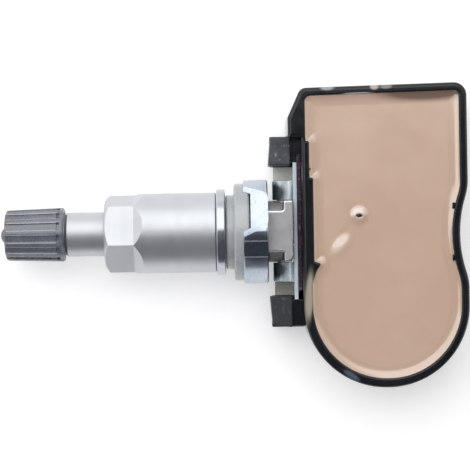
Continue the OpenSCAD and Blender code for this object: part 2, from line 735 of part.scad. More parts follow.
// Half of the bracket on one side of the valve axis
module bracket_side() {
    wing_in = knuckle_out + wing_gap;
    wing_out = clip_inner_y - wing_gap / 2;
    knuckle();
    block([plate_x, 0, -bracket_low], [plate_x + sheet_t, bracket_w / 2, -knuckle_r + sheet_t]);
    difference() {
        block([plate_x, 0, -knuckle_r], [plate_x + sheet_t, bracket_w / 2, bracket_top]);
        block([plate_x - cut, knuckle_in, -knuckle_r + sheet_t],
              [plate_x + cut, knuckle_out, bracket_top - 2 * sheet_t]);
    }
    block([plate_x - foot_reach, wing_in, -bracket_low],
          [plate_x + sheet_t, wing_out, -bracket_low + sheet_t]);
}

module bracket() {
    color("lightsteelblue") {
        bracket_side();
        mirror([0, 1, 0])
            bracket_side();
    }
}

module damping_strip() {
    color("purple")
    block([plate_x + sheet_t + bond_gap, -strip_down, -bracket_low + 0.2],
          [housing_front - bond_gap, strip_up, bracket_top]);
}

// Clip on the upper side: a post and its shoulder, which hold the bracket's end, on a shelf
module clip(reach) {
    shoulder_short = 0.5;
    shelf_extra = 0.3;
    back_x = clip_front + clip_t;
    shelf_z = -bracket_low - bond_gap;
    translate([0, 0, shelf_z])
        linear_extrude(clip_top - shelf_z)
            polygon([[clip_front, clip_inner_y], [back_x, clip_inner_y], [back_x, clip_inner_y + reach],
                     [clip_front + clip_lean, clip_inner_y + reach - clip_lean]]);
    block([back_x - cut, clip_inner_y, shelf_z],
          [plate_x - bond_gap, clip_inner_y + reach - shoulder_short, bracket_top - 2 * sheet_t]);
    block([clip_front + clip_lean, knuckle_out + wing_gap, -base_depth + base_round],
          [housing_front + cut, clip_inner_y + reach + shelf_extra, shelf_z]);
}

// Post under the circuit board
module board_post(x, y) {
    post_root = 0.1;
    translate([x, y, floor_z - post_root])
        cylinder(h = board_z - floor_z + post_root - bond_gap, d = post_d);
}

module board_posts() {
    board_post(board_left + post_d, board_up - post_d);
    board_post(board_right - post_d, board_up - post_d);
    board_post(board_right - post_d, port_y);
}

module housing() {
    color([0.1, 0.1, 0.11]) {
        difference() {
            intersection() {
                skinned(outside_corners(), [[base_round * 1.3, -base_depth - base_round * 0.1],
                    [base_round * 0.4, -base_depth + base_round * 0.2],
                    [base_round * 0.1, -base_depth + base_round * 0.6],
                    [0, -base_depth + base_round * 1.3], [0, rim_top - rim_round],
                    [rim_round * 0.2, rim_top - rim_round * 0.4],
                    [rim_round * 0.9, rim_top + rim_round * 0.3]]);
                block([0, -2 * housing_down, -base_depth], [2 * housing_back, 2 * housing_up, rim_top]);
            }
            translate([0, 0, floor_z])
                linear_extrude(rim_top - floor_z + cut)
                    polygon(rounded(pocket_corners()));
        }
        clip(clip_outer_y - clip_inner_y);
        mirror([0, 1, 0])
            clip(clip_outer_y - clip_inner_y + lower_clip_extra);
        board_posts();
    }
}

// Everything that the potting flows round
module potted_pieces() {
    coin_cell();
    cell_tab_upper();
    cell_tab_lower();
    circuit_board();
    pressure_sensor();
    port_tube();
    control_chip();
    crystal();
    coil_core();
    coil_winding();
    antenna();
    capacitors();
}

module potting() {
    color("tan")
    difference() {
        translate([0, 0, floor_z + bond_gap])
            linear_extrude(potting_top - floor_z - bond_gap)
                polygon(rounded(pocket_corners(), bond_gap));
        potted_pieces();
        board_posts();
    }
}

module coin_cell() {
    color("silver")
    translate([cell_x, cell_y, floor_z + bond_gap])
        union() {
            cylinder(h = cell_t * 0.75, d = cell_d);
            cylinder(h = cell_t - bond_gap, d = cell_d - 2 * cell_step);
        }
}

module cell_tab_upper() {
    reach = cell_y + cell_d / 3;
    color("gold") {
        block([cell_x - tab_w / 2, cell_y, cell_top + bond_gap],
              [cell_x + tab_w / 2, reach, cell_top + tab_t]);
        block([cell_x - tab_w / 2, reach - tab_t, cell_top + bond_gap],
              [cell_x + tab_w / 2, reach, board_z - bond_gap]);
    }
}

module cell_tab_lower() {
    side_y = cell_y + cell_d / 2 + bond_gap;
    color("gold")
    block([cell_x - tab_w / 2, side_y, floor_z + 0.5],
          [cell_x + tab_w / 2, side_y + tab_t, board_z - bond_gap]);
}

module circuit_board() {
    color("darkgreen")
    translate([0, 0, board_z])
        linear_extrude(board_t)
            intersection() {
                polygon(rounded(pocket_corners(), 0.15));
                translate([board_left, -housing_down])
                    square([board_right - board_left, housing_down + board_up]);
            }
}

module pressure_sensor() {
    color("dimgray")
    difference() {
        block([port_x - sensor_w / 2, port_y - sensor_w / 2, board_top + bond_gap],
              [port_x + sensor_w / 2, port_y + sensor_w / 2, board_top + sensor_h]);
        translate([port_x, port_y, board_top + sensor_floor])
            cylinder(h = sensor_h, d = port_bore);
    }
}

module port_tube() {
    port_len = potting_top - board_top - sensor_h - bond_gap;
    color("lightgray")
    translate([port_x, port_y, board_top + sensor_h + bond_gap])
        difference() {
            cylinder(h = port_len, d = port_d);
            translate([0, 0, -cut])
                cylinder(h = port_len + 2 * cut, d = port_bore);
        }
}

// Block that stands on the circuit board, centred on a spot
module on_board(x, y, size) {
    translate([x - size[0] / 2, y - size[1] / 2, board_top + bond_gap])
        cube(size);
}

module control_chip() {
    color("black")
    on_board(chip_x, chip_y, [chip_w, chip_w, chip_h]);
}

module crystal() {
    color("silver")
    on_board(chip_x, crystal_y, [crystal_l, crystal_w, crystal_h]);
}

module coil_core() {
    color("dimgray") {
        for (side = [-1, 1])
            on_board(coil_x + side * (coil_l - coil_flange) / 2, coil_y, [coil_flange, coil_w, coil_h]);
        translate([0, 0, winding_t])
            on_board(coil_x, coil_y, [coil_l, coil_w - 2 * winding_t, coil_h - 2 * winding_t]);
    }
}

module coil_winding() {
    skin = winding_t - bond_gap;
    color("peru")
    difference() {
        on_board(coil_x, coil_y, [coil_l - 2 * coil_flange - 2 * bond_gap, coil_w, coil_h]);
        translate([0, 0, skin])
            on_board(coil_x, coil_y, [coil_l, coil_w - 2 * skin, coil_h - 2 * skin]);
    }
}

// Loop antenna: a strip on edge round the cell's end of the board
module antenna() {
    color("gold")
    translate([cell_x, cell_y, board_top + bond_gap])
        rotate([0, 0, 90 + (360 - antenna_turn) / 2])
            rotate_extrude(angle = antenna_turn)
                translate([antenna_r, 0])
                    square([antenna_t, antenna_h]);
}

module capacitors() {
    color("tan")
    for (k = [0 : capacitors_placed - 1])
        on_board(capacitor_x + capacitor_pitch * k, capacitor_y, [capacitor_w, capacitor_l, capacitor_h]);
}

valve_stem();
core_body();
core_ring();
core_pin();
core_cup();
core_spring();
cap();
cap_seal();
sleeve_nut();
washer();
grommet();
collar();
hinge_pin();
bracket();
damping_strip();
housing();
potting();
coin_cell();
cell_tab_upper();
cell_tab_lower();
circuit_board();
pressure_sensor();
port_tube();
control_chip();
crystal();
coil_core();
coil_winding();
antenna();
capacitors();
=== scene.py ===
"""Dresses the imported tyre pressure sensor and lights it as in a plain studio."""

import logging
import math
from dataclasses import dataclass, field
from enum import Enum
from itertools import pairwise
from typing import Callable, Sequence

import bmesh
import bpy
from mathutils import Matrix, Vector


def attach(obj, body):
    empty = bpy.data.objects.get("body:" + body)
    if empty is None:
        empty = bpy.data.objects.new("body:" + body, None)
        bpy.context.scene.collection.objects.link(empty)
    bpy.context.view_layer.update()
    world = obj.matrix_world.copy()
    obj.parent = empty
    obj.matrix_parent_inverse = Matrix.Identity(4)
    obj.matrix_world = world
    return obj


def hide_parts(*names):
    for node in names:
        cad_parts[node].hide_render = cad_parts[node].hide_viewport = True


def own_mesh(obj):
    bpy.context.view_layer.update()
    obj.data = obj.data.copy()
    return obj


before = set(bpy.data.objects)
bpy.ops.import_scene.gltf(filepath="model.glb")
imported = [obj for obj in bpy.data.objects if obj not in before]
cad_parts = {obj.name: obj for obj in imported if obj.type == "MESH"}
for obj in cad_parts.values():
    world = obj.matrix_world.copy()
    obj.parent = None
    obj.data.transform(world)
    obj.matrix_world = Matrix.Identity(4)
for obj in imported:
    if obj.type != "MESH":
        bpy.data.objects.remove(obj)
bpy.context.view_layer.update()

LOG = logging.getLogger("sensor")
MM = 0.001
SHARP_ANGLE = math.radians(32)
MERGE_DISTANCE = 1e-4

Corner = tuple[float, float, float]
Point = tuple[float, float]
Solid = bmesh.types.BMesh
Edges = list[bmesh.types.BMEdge]
Tree = bpy.types.NodeTree
Socket = bpy.types.NodeSocket


def linear(code: str) -> tuple[float, float, float, float]:
    """Turn an sRGB hex colour into linear light.

    Args:
        code: Colour as #RRGGBB.

    Returns:
        Red, green, blue and alpha in linear light.
    """
    parts = [int(code[k:k + 2], 16) / 255 for k in (1, 3, 5)]
    red, green, blue = (c / 12.92 if c <= 0.04045 else ((c + 0.055) / 1.055) ** 2.4 for c in parts)
    return red, green, blue, 1.0


def add_node(tree: Tree, kind: str, inputs: dict[str | int, object] | None = None,
             **settings: object) -> bpy.types.Node:
    """Add a node with its settings and fill its sockets.

    Args:
        tree: Node tree that takes the node.
        kind: Blender's name of the node type.
        inputs: Values or sockets to link, by socket name or number.
        **settings: Properties of the node.

    Returns:
        The new node.
    """
    node = tree.nodes.new(kind)
    for name, value in settings.items():
        setattr(node, name, value)
    for key, value in (inputs or {}).items():
        if isinstance(value, bpy.types.NodeSocket):
            tree.links.new(value, node.inputs[key])
        else:
            node.inputs[key].default_value = value
    return node


def fresh_tree(holder: bpy.types.Material | bpy.types.World) -> Tree:
    """Switch on the nodes of a material or world and clear them."""
    holder.use_nodes = True
    holder.node_tree.nodes.clear()
    return holder.node_tree


class Lay(Enum):
    """How much finer a surface's marks are along X, Y and Z, from the way it was made."""

    EVEN = (1.0, 1.0, 1.0)
    TURNED = (1.0, 0.03, 0.03)
    DRAWN_ALONG_Y = (1.0, 0.03, 1.0)
    CUT_DOWN = (1.0, 1.0, 0.06)


@dataclass(frozen=True)
class Spot:
    """A soft-edged patch with its middle and its half-lengths in millimetres, turned about the Z axis."""

    x: float
    y: float
    long: float
    wide: float
    turn: float
    colour: str
    share: float = 1.0
    z: float = 6.3
    tall: float = 1.6

    def mask(self, tree: Tree, place: Socket, full: float = 0.35) -> Socket:
        """Work out the patch's cover.

        Args:
            tree: Node tree of the material.
            place: Object coordinates.
            full: Depth in the patch at which the cover is full: 1 makes a dome.

        Returns:
            Cover from 0 outside to share in the middle.
        """
        middle = (self.x * MM, self.y * MM, self.z * MM)
        size = (self.long * MM, self.wide * MM, self.tall * MM)
        turned = (0.0, 0.0, math.radians(self.turn))
        local = add_node(tree, "ShaderNodeMapping",
                         {"Vector": place, "Location": middle, "Rotation": turned, "Scale": size},
                         vector_type="TEXTURE")
        ball = add_node(tree, "ShaderNodeTexGradient", {"Vector": local.outputs["Vector"]},
                        gradient_type="QUADRATIC_SPHERE")
        return add_node(tree, "ShaderNodeMapRange",
                        {"Value": ball.outputs["Fac"], "From Max": full, "To Max": self.share},
                        interpolation_type="SMOOTHSTEP").outputs["Result"]


@dataclass(frozen=True)
class Finish:
    """A material and the way its surface was made."""

    name: str
    colour: str
    patch: str
    roughness: float
    metallic: float = 0.0
    lay: Lay = Lay.EVEN
    grain_mm: float = 0.35
    grain_depth_mm: float = 0.004
    patch_mm: float = 5.0
    roughness_spread: float = 0.05
    ior: float = 1.5
    coat: float = 0.0
    translucency: float = 0.0
    spots: tuple[Spot, ...] = ()

    def material(self) -> bpy.types.Material:
        """Build the material, or hand back the one that was built before.

        Returns:
            The finish as a Blender material.
        """
        made = bpy.data.materials.get(self.name)
        if made:
            return made
        made = bpy.data.materials.new(self.name)
        tree = fresh_tree(made)
        place = add_node(tree, "ShaderNodeTexCoord").outputs["Object"]
        shader = add_node(tree, "ShaderNodeBsdfPrincipled",
                          {"Metallic": self.metallic, "Coat Weight": self.coat,
                           "Coat Roughness": self.roughness})
        if not self.metallic:
            shader.inputs["IOR"].default_value = self.ior
        if self.translucency:
            shader.inputs["Subsurface Weight"].default_value = self.translucency
            shader.inputs["Subsurface Scale"].default_value = MM
        colour = self.tint(tree, place)
        for spot in self.spots:
            colour = self.blend(tree, spot.mask(tree, place), colour, spot.colour)
        tree.links.new(colour, shader.inputs["Base Color"])
        tree.links.new(self.gloss(tree, place), shader.inputs["Roughness"])
        tree.links.new(self.relief(tree, place), shader.inputs["Normal"])
        add_node(tree, "ShaderNodeOutputMaterial", {"Surface": shader.outputs["BSDF"]})
        return made

    def noise(self, tree: Tree, place: Socket, size_mm: float, detail: float = 3.0,
              lay: Lay = Lay.EVEN) -> Socket:
        """Add a noise whose features measure size_mm, stretched as lay says.

        Args:
            tree: Node tree of the material.
            place: Object coordinates.
            size_mm: Size of the features across the marks.
            detail: Octaves of finer noise.
            lay: Stretch of the marks.

        Returns:
            The noise's value.
        """
        stretch = add_node(tree, "ShaderNodeMapping", {"Vector": place, "Scale": lay.value})
        marks = add_node(tree, "ShaderNodeTexNoise", {"Vector": stretch.outputs["Vector"],
                                                      "Scale": 1 / (size_mm * MM), "Detail": detail})
        return marks.outputs["Fac"]

    def spread(self, tree: Tree, value: Socket, low: float, high: float, start: float = 0.35,
               end: float = 0.65) -> Socket:
        """Stretch a noise's middle range onto new limits.

        Args:
            tree: Node tree of the material.
            value: Noise to stretch.
            low: Result at start and below.
            high: Result at end and above.
            start: Noise value that gives low.
            end: Noise value that gives high.

        Returns:
            The stretched value.
        """
        return add_node(tree, "ShaderNodeMapRange",
                        {"Value": value, "From Min": start, "From Max": end, "To Min": low, "To Max": high}
                        ).outputs["Result"]

    def blend(self, tree: Tree, factor: Socket, first: Socket | str, second: Socket | str) -> Socket:
        """Mix two colours, each a socket or a hex code.

        Args:
            tree: Node tree of the material.
            factor: Share of the second colour.
            first: Colour at factor 0.
            second: Colour at factor 1.

        Returns:
            The mixed colour.
        """
        ends = [linear(c) if isinstance(c, str) else c for c in (first, second)]
        mix = add_node(tree, "ShaderNodeMix", {0: factor, 6: ends[0], 7: ends[1]}, data_type="RGBA")
        return mix.outputs[2]

    def tint(self, tree: Tree, place: Socket) -> Socket:
        """Mottle the colour softly.

        Args:
            tree: Node tree of the material.
            place: Object coordinates.

        Returns:
            The base colour.
        """
        share = self.spread(tree, self.noise(tree, place, self.patch_mm), 0.0, 1.0)
        return self.blend(tree, share, self.colour, self.patch)

    def gloss(self, tree: Tree, place: Socket) -> Socket:
        """Let the roughness wander by its spread.

        Args:
            tree: Node tree of the material.
            place: Object coordinates.

        Returns:
            The roughness.
        """
        finer, octaves = 3, 2.0
        low, high = self.roughness - self.roughness_spread, self.roughness + self.roughness_spread
        return self.spread(tree, self.noise(tree, place, self.patch_mm / finer, octaves, self.lay), low, high)

    def relief(self, tree: Tree, place: Socket) -> Socket:
        """Raise the grain or the tool marks.

        Args:
            tree: Node tree of the material.
            place: Object coordinates.

        Returns:
            The bumped normal.
        """
        octaves = 4.0
        height = self.noise(tree, place, self.grain_mm, octaves, self.lay)
        return add_node(tree, "ShaderNodeBump",
                        {"Height": height, "Distance": self.grain_depth_mm * MM}).outputs["Normal"]


@dataclass(frozen=True)
class Speckled(Finish):
    """A finish with small flecks of another colour."""

    fleck: str = "#B0B0B0"
    fleck_mm: float = 0.5
    fleck_share: float = 0.3

    def tint(self, tree: Tree, place: Socket) -> Socket:
        """Scatter the flecks over the mottled colour.

        Args:
            tree: Node tree of the material.
            place: Object coordinates.

        Returns:
            The base colour.
        """
        start, full, octaves = 0.7, 0.8, 1.0
        ground = super().tint(tree, place)
        flecks = self.spread(tree, self.noise(tree, place, self.fleck_mm, octaves), 0.0, 1.0,
                             start - self.fleck_share / 2, full - self.fleck_share / 2)
        return self.blend(tree, flecks, ground, self.fleck)


@dataclass(frozen=True)
class Resin(Finish):
    """A poured, self-levelled finish that lies in long, shallow waves with a few swellings."""

    wave_mm: float = 9.0
    wave_depth_mm: float = 0.12
    swell_mm: float = 0.3
    swells: tuple[Spot, ...] = ()

    def relief(self, tree: Tree, place: Socket) -> Socket:
        """Lay shallow waves under the fine grain.

        Args:
            tree: Node tree of the material.
            place: Object coordinates.

        Returns:
            The bumped normal.
        """
        smooth, fine, dome = 1.0, 2.0, 1.0
        waves = add_node(tree, "ShaderNodeBump", {"Height": self.noise(tree, place, self.wave_mm, smooth),
                                                  "Distance": self.wave_depth_mm * MM})
        normal = waves.outputs["Normal"]
        for swell in self.swells:
            cover = swell.mask(tree, place, dome)
            raised = add_node(tree, "ShaderNodeBump", {"Height": cover, "Normal": normal,
                                                       "Distance": self.swell_mm * MM})
            normal = raised.outputs["Normal"]
        height = self.noise(tree, place, self.grain_mm, fine)
        return add_node(tree, "ShaderNodeBump", {"Height": height, "Distance": self.grain_depth_mm * MM,
                                                 "Normal": normal}).outputs["Normal"]


# Aluminium alloy, turned: satin, with fine rings that spread the highlight along the axis
TURNED_ALUMINIUM = Finish("aluminium_turned", "#C8CACE", "#C2C4C8", roughness=0.48, metallic=1.0,
                          lay=Lay.TURNED, grain_mm=0.18, grain_depth_mm=0.0035, patch_mm=6.0,
                          roughness_spread=0.02)
# Aluminium alloy, turned and milled: brighter than the stem, tool marks drawn coarser so that they show
MILLED_ALUMINIUM = Finish("aluminium_milled", "#CACCD0", "#C4C6CA", roughness=0.46, metallic=1.0,
                          lay=Lay.TURNED, grain_mm=0.22, patch_mm=6.0, roughness_spread=0.025)
# Aluminium alloy, burnished by tumbling and smoother: painted lighter so that the boss's edges and the collar
# flat's edges show as bright highlight lines
HIGHLIGHT_EDGE_ALUMINIUM = Finish("aluminium_burnished_highlight", "#DCDDE0", "#D2D4D8", roughness=0.28, metallic=1.0, grain_mm=0.3,
                     grain_depth_mm=0.002, patch_mm=3.0)
# Aluminium alloy, forged and tumbled: matt and evenly grained
FORGED_ALUMINIUM = Finish("aluminium_forged", "#BBBABB", "#AFAEAE", roughness=0.55, metallic=1.0,
                          grain_mm=0.3, grain_depth_mm=0.012, patch_mm=3.0)
# Stainless steel, polished: a clear mirror with a painted dark reflection on its lower half
POLISHED_STEEL = Finish("steel_polished", "#BDC0C6", "#B4B7BE", roughness=0.2, metallic=1.0, lay=Lay.TURNED,
                        grain_mm=0.3, grain_depth_mm=0.0015, patch_mm=6.0, roughness_spread=0.03,
                        spots=(Spot(-1.2, -3.3, 4.0, 4.3, 0.0, "#7A7888", share=0.75, z=6.8, tall=4.0),))
# Steel, bright zinc plated: bluish, nearly a mirror, slightly wavy, with a painted dark reflection on the
# collar
ZINC_PLATE = Speckled("steel_zinc_plated", "#BCC4CF", "#AEB8C5", roughness=0.24, metallic=1.0, grain_mm=0.9,
                      grain_depth_mm=0.002, patch_mm=3.0, roughness_spread=0.03, fleck="#8F97A8",
                      fleck_mm=0.45, fleck_share=0.1,
                      spots=(Spot(4.0, -2.6, 6.0, 4.9, 0.0, "#4C5265", share=0.8, z=8.2, tall=4.0),))
# Steel, zinc plated, on the collar's milled flat: clearer than the turned faces, and painted darker as a
# reflection
DARK_ZINC = Speckled("steel_zinc_milled_reflection", "#6F7585", "#606676", roughness=0.14, metallic=1.0, grain_mm=0.9,
                     grain_depth_mm=0.002, patch_mm=2.0, roughness_spread=0.03, fleck="#4F566A", fleck_mm=0.4,
                     fleck_share=0.2)
# Steel, zinc plated and left dull where no tool touched it: painted pale as light where the clip shades the
# wings, with painted shade on the lower wing
DULL_ZINC = Finish("steel_zinc_dull", "#F8F5EC", "#EFEBE0", roughness=0.5, grain_mm=0.4, grain_depth_mm=0.006,
                   patch_mm=3.0,
                   # painted shade on the lower wing
                   spots=(Spot(8.8, -10.3, 4.5, 4.0, 0.0, "#C4C0B4", share=0.9, z=-4.5, tall=3.0),))
# Steel, zinc plated, on the upward face of the sheet's sheared top edge: rougher, and painted pale blue as a
# highlight
SHEARED_HIGHLIGHT_ZINC = Finish("steel_zinc_sheared_highlight", "#D3DEE4", "#C3D0D8", roughness=0.42, metallic=0.3,
                      lay=Lay.DRAWN_ALONG_Y, grain_mm=0.25, patch_mm=3.0)
# Steel, zinc plated, where the sheet is rolled round the pin: a painted dark green-blue reflection on each
# knuckle
ROLLED_REFLECTION_ZINC = Finish("steel_zinc_rolled_reflection", "#CDD6DA", "#BCC7CD", roughness=0.32, metallic=0.7, grain_mm=0.5,
                     patch_mm=3.0,
                     spots=(Spot(7.1, 6.6, 3.4, 2.9, 0.0, "#22323A", share=0.9, z=1.0, tall=6.0),
                            Spot(7.1, -6.7, 3.4, 2.6, 0.0, "#22323A", share=0.9, z=1.0, tall=6.0)))
# Steel, ground: grey with short bright streaks
GROUND_STEEL = Finish("steel_ground", "#8F9096", "#7C7D84", roughness=0.25, metallic=1.0,
                      lay=Lay.DRAWN_ALONG_Y, grain_mm=0.2, grain_depth_mm=0.003)
# Steel wire, cold drawn: smooth and bright
DRAWN_STEEL = Finish("steel_wire_drawn", "#A9ABB0", "#96989E", roughness=0.22, metallic=1.0, grain_mm=0.2,
                     grain_depth_mm=0.002)
# Sheet steel, nickel plated: warm grey, softly bright
NICKEL_PLATE = Finish("steel_nickel_plated", "#A7A59F", "#97958F", roughness=0.28, metallic=1.0, grain_mm=0.4,
                      grain_depth_mm=0.003)
# Brass, turned: yellow with rings
TURNED_BRASS = Finish("brass_turned", "#B8985A", "#A8874A", roughness=0.28, metallic=1.0, lay=Lay.TURNED,
                      grain_mm=0.15, grain_depth_mm=0.003)
# Copper wire, enamelled: reddish and glossy, its turns drawn as marks across the coil
ENAMELLED_COPPER = Finish("copper_wire_enamelled", "#A5623A", "#8A4B2A", roughness=0.3, metallic=1.0,
                          lay=Lay.TURNED, grain_mm=0.12, grain_depth_mm=0.02)
# PTFE, turned: white and waxy
PTFE = Finish("ptfe_turned", "#D8D8D2", "#CDCDC6", roughness=0.45, ior=1.38, translucency=0.2)
# EPDM rubber, moulded, unfilled grey: slightly translucent with a satin skin
GREY_RUBBER = Finish("epdm_rubber_grey", "#B0B3B6", "#A2A6AA", roughness=0.3, grain_mm=0.4,
                     grain_depth_mm=0.006, ior=1.7, coat=0.6, translucency=0.25)
# NBR rubber, moulded, black: dull
BLACK_RUBBER = Finish("nbr_rubber_black", "#232325", "#2E2E30", roughness=0.6, grain_mm=0.3,
                      grain_depth_mm=0.01)
# Foam rubber with fleck, cut from sheet: dark purple, open and dull
FOAM_RUBBER = Speckled("foam_rubber_cut", "#3A2439", "#2A1B2E", roughness=0.65, lay=Lay.CUT_DOWN,
                       grain_mm=0.25, grain_depth_mm=0.05, patch_mm=1.5, fleck="#7B5E78", fleck_mm=0.35,
                       fleck_share=0.25)
# Polyamide, moulded, grey: fine spark texture, satin
GREY_POLYAMIDE = Finish("polyamide_grey_moulded", "#666972", "#595C66", roughness=0.27, grain_depth_mm=0.008,
                        patch_mm=2.5, ior=1.9)
# Polyamide, worn smoother by fingers on the edges of the cap's ribs, and painted lighter there as highlights
WORN_HIGHLIGHT_POLYAMIDE = Finish("polyamide_grey_worn_highlight", "#B9BDC5", "#A8ACB6", roughness=0.22, grain_depth_mm=0.003,
                          patch_mm=2.5, ior=1.9)
# PBT, moulded in a polished tool: deep black and glossy, with a pale khaki strip along the lower left rim,
# small painted reflections on the upper and lower rim and a painted highlight line along the pocket's upper
# edge
GLOSS_PBT = Finish("pbt_black_polished", "#0E1014", "#14161C", roughness=0.12, grain_mm=1.2,
                   grain_depth_mm=0.003, patch_mm=6.0, roughness_spread=0.04, ior=1.45,
                   spots=(Spot(12.8, -11.3, 7.0, 1.2, 86.0, "#BDB4A1", share=0.7),
                          # painted reflections on the upper rim
                          Spot(24.5, 24.6, 1.2, 0.9, 1.0, "#C9BBAF", share=0.85, z=6.4, tall=0.9),
                          Spot(16.4, 24.5, 1.9, 0.7, 1.0, "#B4B5BA", share=0.75, z=6.4, tall=0.9),
                          Spot(26.5, 24.6, 1.7, 0.7, 1.0, "#9A9CA2", share=0.7, z=6.4, tall=0.9),
                          # painted highlight line along the pocket's upper edge
                          Spot(21.6, 23.5, 4.0, 0.2, 1.3, "#D0D0D3", share=0.8),
                          # painted reflection on the lower rim
                          Spot(19.8, -25.0, 2.6, 0.8, -35.0, "#5F6D82", share=0.6)))
# PBT, moulded in an eroded tool: the clips are matt and scuffed, with painted shade on the lower clip
MATT_PBT = Speckled("pbt_black_eroded", "#3B3D42", "#4B4D53", roughness=0.6, grain_mm=0.3,
                    grain_depth_mm=0.02, patch_mm=2.2, fleck="#84868B", fleck_mm=0.8, fleck_share=0.13,
                    # painted shade on the lower clip
                    spots=(Spot(8.0, -14.0, 7.0, 6.5, 0.0, "#232428", share=0.75, z=3.2, tall=6.0),))
# Polyurethane resin, poured: beige, glossy, self-levelled, with painted shade along the upper wall, and
# painted highlights on the port's mound and on one swelling
BEIGE_RESIN = Resin("polyurethane_resin_poured", "#CFB29C", "#C9AA94", roughness=0.14, grain_mm=0.5,
                    grain_depth_mm=0.0015, patch_mm=14.0, roughness_spread=0.03, ior=1.9, coat=1.0,
                    translucency=0.08,
                    # painted shade along the upper wall
                    spots=(Spot(33.5, 23.7, 14.0, 2.7, 1.0, "#5E4637", share=0.85, z=6.0, tall=3.0),
                           # painted highlights on the port's mound and on the swelling
                           Spot(21.5, 3.1, 1.9, 1.2, 8.0, "#EADFD5", share=0.65, z=5.9, tall=1.5),
                           Spot(18.2, -2.3, 3.4, 1.6, 47.0, "#E8D8CB", share=0.5, z=5.7, tall=1.5)),
                    swells=(Spot(18.5, -2.8, 5.2, 2.8, 47.0, "#FFFFFF", z=5.7, tall=4.0),))
# Glass-fibre laminate under solder mask: dark green with the weave just showing
MASKED_LAMINATE = Finish("laminate_solder_masked", "#1F4A2C", "#173B22", roughness=0.35, grain_mm=0.5,
                         grain_depth_mm=0.01)
# Epoxy compound, moulded: the black of chip packages
EPOXY_PACKAGE = Finish("epoxy_package_moulded", "#1E1E21", "#26262A", roughness=0.5, grain_mm=0.12,
                       grain_depth_mm=0.006)
# Ferrite, sintered: dark grey and dry
FERRITE = Finish("ferrite_sintered", "#3A3838", "#2F2D2D", roughness=0.6, grain_mm=0.2, grain_depth_mm=0.012)
# Ceramic, fired: tan and smooth
FIRED_CERAMIC = Finish("ceramic_fired", "#A08660", "#917754", roughness=0.4, grain_mm=0.3)


def corner_arc(before: Corner, corner: Corner, after: Corner, inset: float, step: float) -> list[Point]:
    """Round one corner of an anticlockwise outline that is moved inwards.

    Args:
        before: Corner before this one.
        corner: Corner as x, y and radius.
        after: Corner after this one.
        inset: Distance that the outline is moved inwards.
        step: Angle between the arc's points in degrees.

    Returns:
        Points of the arc in order.
    """
    smallest, fewest = 0.01, 3
    middle = Vector(corner[:2])
    ahead = (middle - Vector(before[:2])).normalized()
    onward = (Vector(after[:2]) - middle).normalized()
    side = 1 if ahead.cross(onward) > 0 else -1
    normals = Vector((-ahead.y, ahead.x)), Vector((-onward.y, onward.x))
    tip = middle + inset * (normals[0] + normals[1]) / (1 + normals[0].dot(normals[1]))
    radius = max(corner[2] - side * inset, smallest)
    turn = math.acos(max(-1.0, min(1.0, ahead.dot(onward))))
    start = tip - radius * math.tan(turn / 2) * ahead
    centre = start + side * radius * normals[0]
    first = math.atan2(start.y - centre.y, start.x - centre.x)
    count = max(fewest, round(math.degrees(turn) / step))
    angles = [first + side * turn * k / count for k in range(count + 1)]
    return [(centre.x + radius * math.cos(a), centre.y + radius * math.sin(a)) for a in angles]


@dataclass(frozen=True)
class Outline:
    """Closed outline through rounded corners, anticlockwise, in millimetres."""

    corners: tuple[Corner, ...]
    wide_step: float = 3.0
    tight_step: float = 12.0
    wide_radius: float = 5.0

    def points(self, inset: float = 0.0) -> list[Point]:
        """Work out the outline, moved inwards.

        Args:
            inset: Distance inwards, negative for outwards.

        Returns:
            Points of the outline, as many at every inset.
        """
        total = len(self.corners)
        found: list[Point] = []
        for k, corner in enumerate(self.corners):
            step = self.wide_step if corner[2] > self.wide_radius else self.tight_step
            found += corner_arc(self.corners[k - 1], corner, self.corners[(k + 1) % total], inset, step)
        return found


def quarter_round(facets: int) -> list[Point]:
    """Give a rounded edge of radius 1 as distances inwards and down from its top, from the side up."""
    turns = [math.pi / 2 * k / facets for k in range(facets + 1)]
    return [(1 - math.cos(a), 1 - math.sin(a)) for a in turns]


def circle(sides: int) -> list[Point]:
    """List the corners of a polygon of radius 1 round the origin."""
    turns = [math.tau * k / sides for k in range(sides)]
    return [(math.cos(a), math.sin(a)) for a in turns]


def loop(solid: Solid, places: Sequence[Corner]) -> Edges:
    """Add a closed loop of edges through places."""
    verts = [solid.verts.new(place) for place in places]
    return [solid.edges.new(pair) for pair in zip(verts, verts[1:] + verts[:1])]


def ring(solid: Solid, points: Sequence[Point], z: float) -> Edges:
    """Add a closed loop of edges at one height.

    Args:
        solid: Mesh that takes the loop.
        points: Points of the loop.
        z: Height of the loop.

    Returns:
        The loop's edges.
    """
    return loop(solid, [(x, y, z) for x, y in points])


def bridged(solid: Solid, rings: Sequence[Edges]) -> None:
    """Skin a wall over loops that follow each other."""
    for lower, upper in pairwise(rings):
        bmesh.ops.bridge_loops(solid, edges=lower + upper)


def capped(solid: Solid, *loops: Edges) -> None:
    """Close each loop of edges with a face."""
    for edges in loops:
        bmesh.ops.contextual_create(solid, geom=edges)


def closed(solid: Solid) -> Solid:
    """Merge doubles and turn every face outwards."""
    bmesh.ops.remove_doubles(solid, verts=solid.verts, dist=MERGE_DISTANCE)
    bmesh.ops.recalc_face_normals(solid, faces=solid.faces)
    return solid


def lathed(profile: Sequence[Point], steps: int = 96) -> Solid:
    """Turn a closed profile of x and radius about the X axis.

    Args:
        profile: Points in order round the section.
        steps: Facets round the axis.

    Returns:
        The turned solid.
    """
    solid = bmesh.new()
    edges = loop(solid, [(x, 0.0, r) for x, r in profile])
    bmesh.ops.spin(solid, geom=[*solid.verts, *edges], cent=(0, 0, 0), axis=(1, 0, 0), angle=math.tau,
                   steps=steps, use_merge=True)
    return closed(solid)


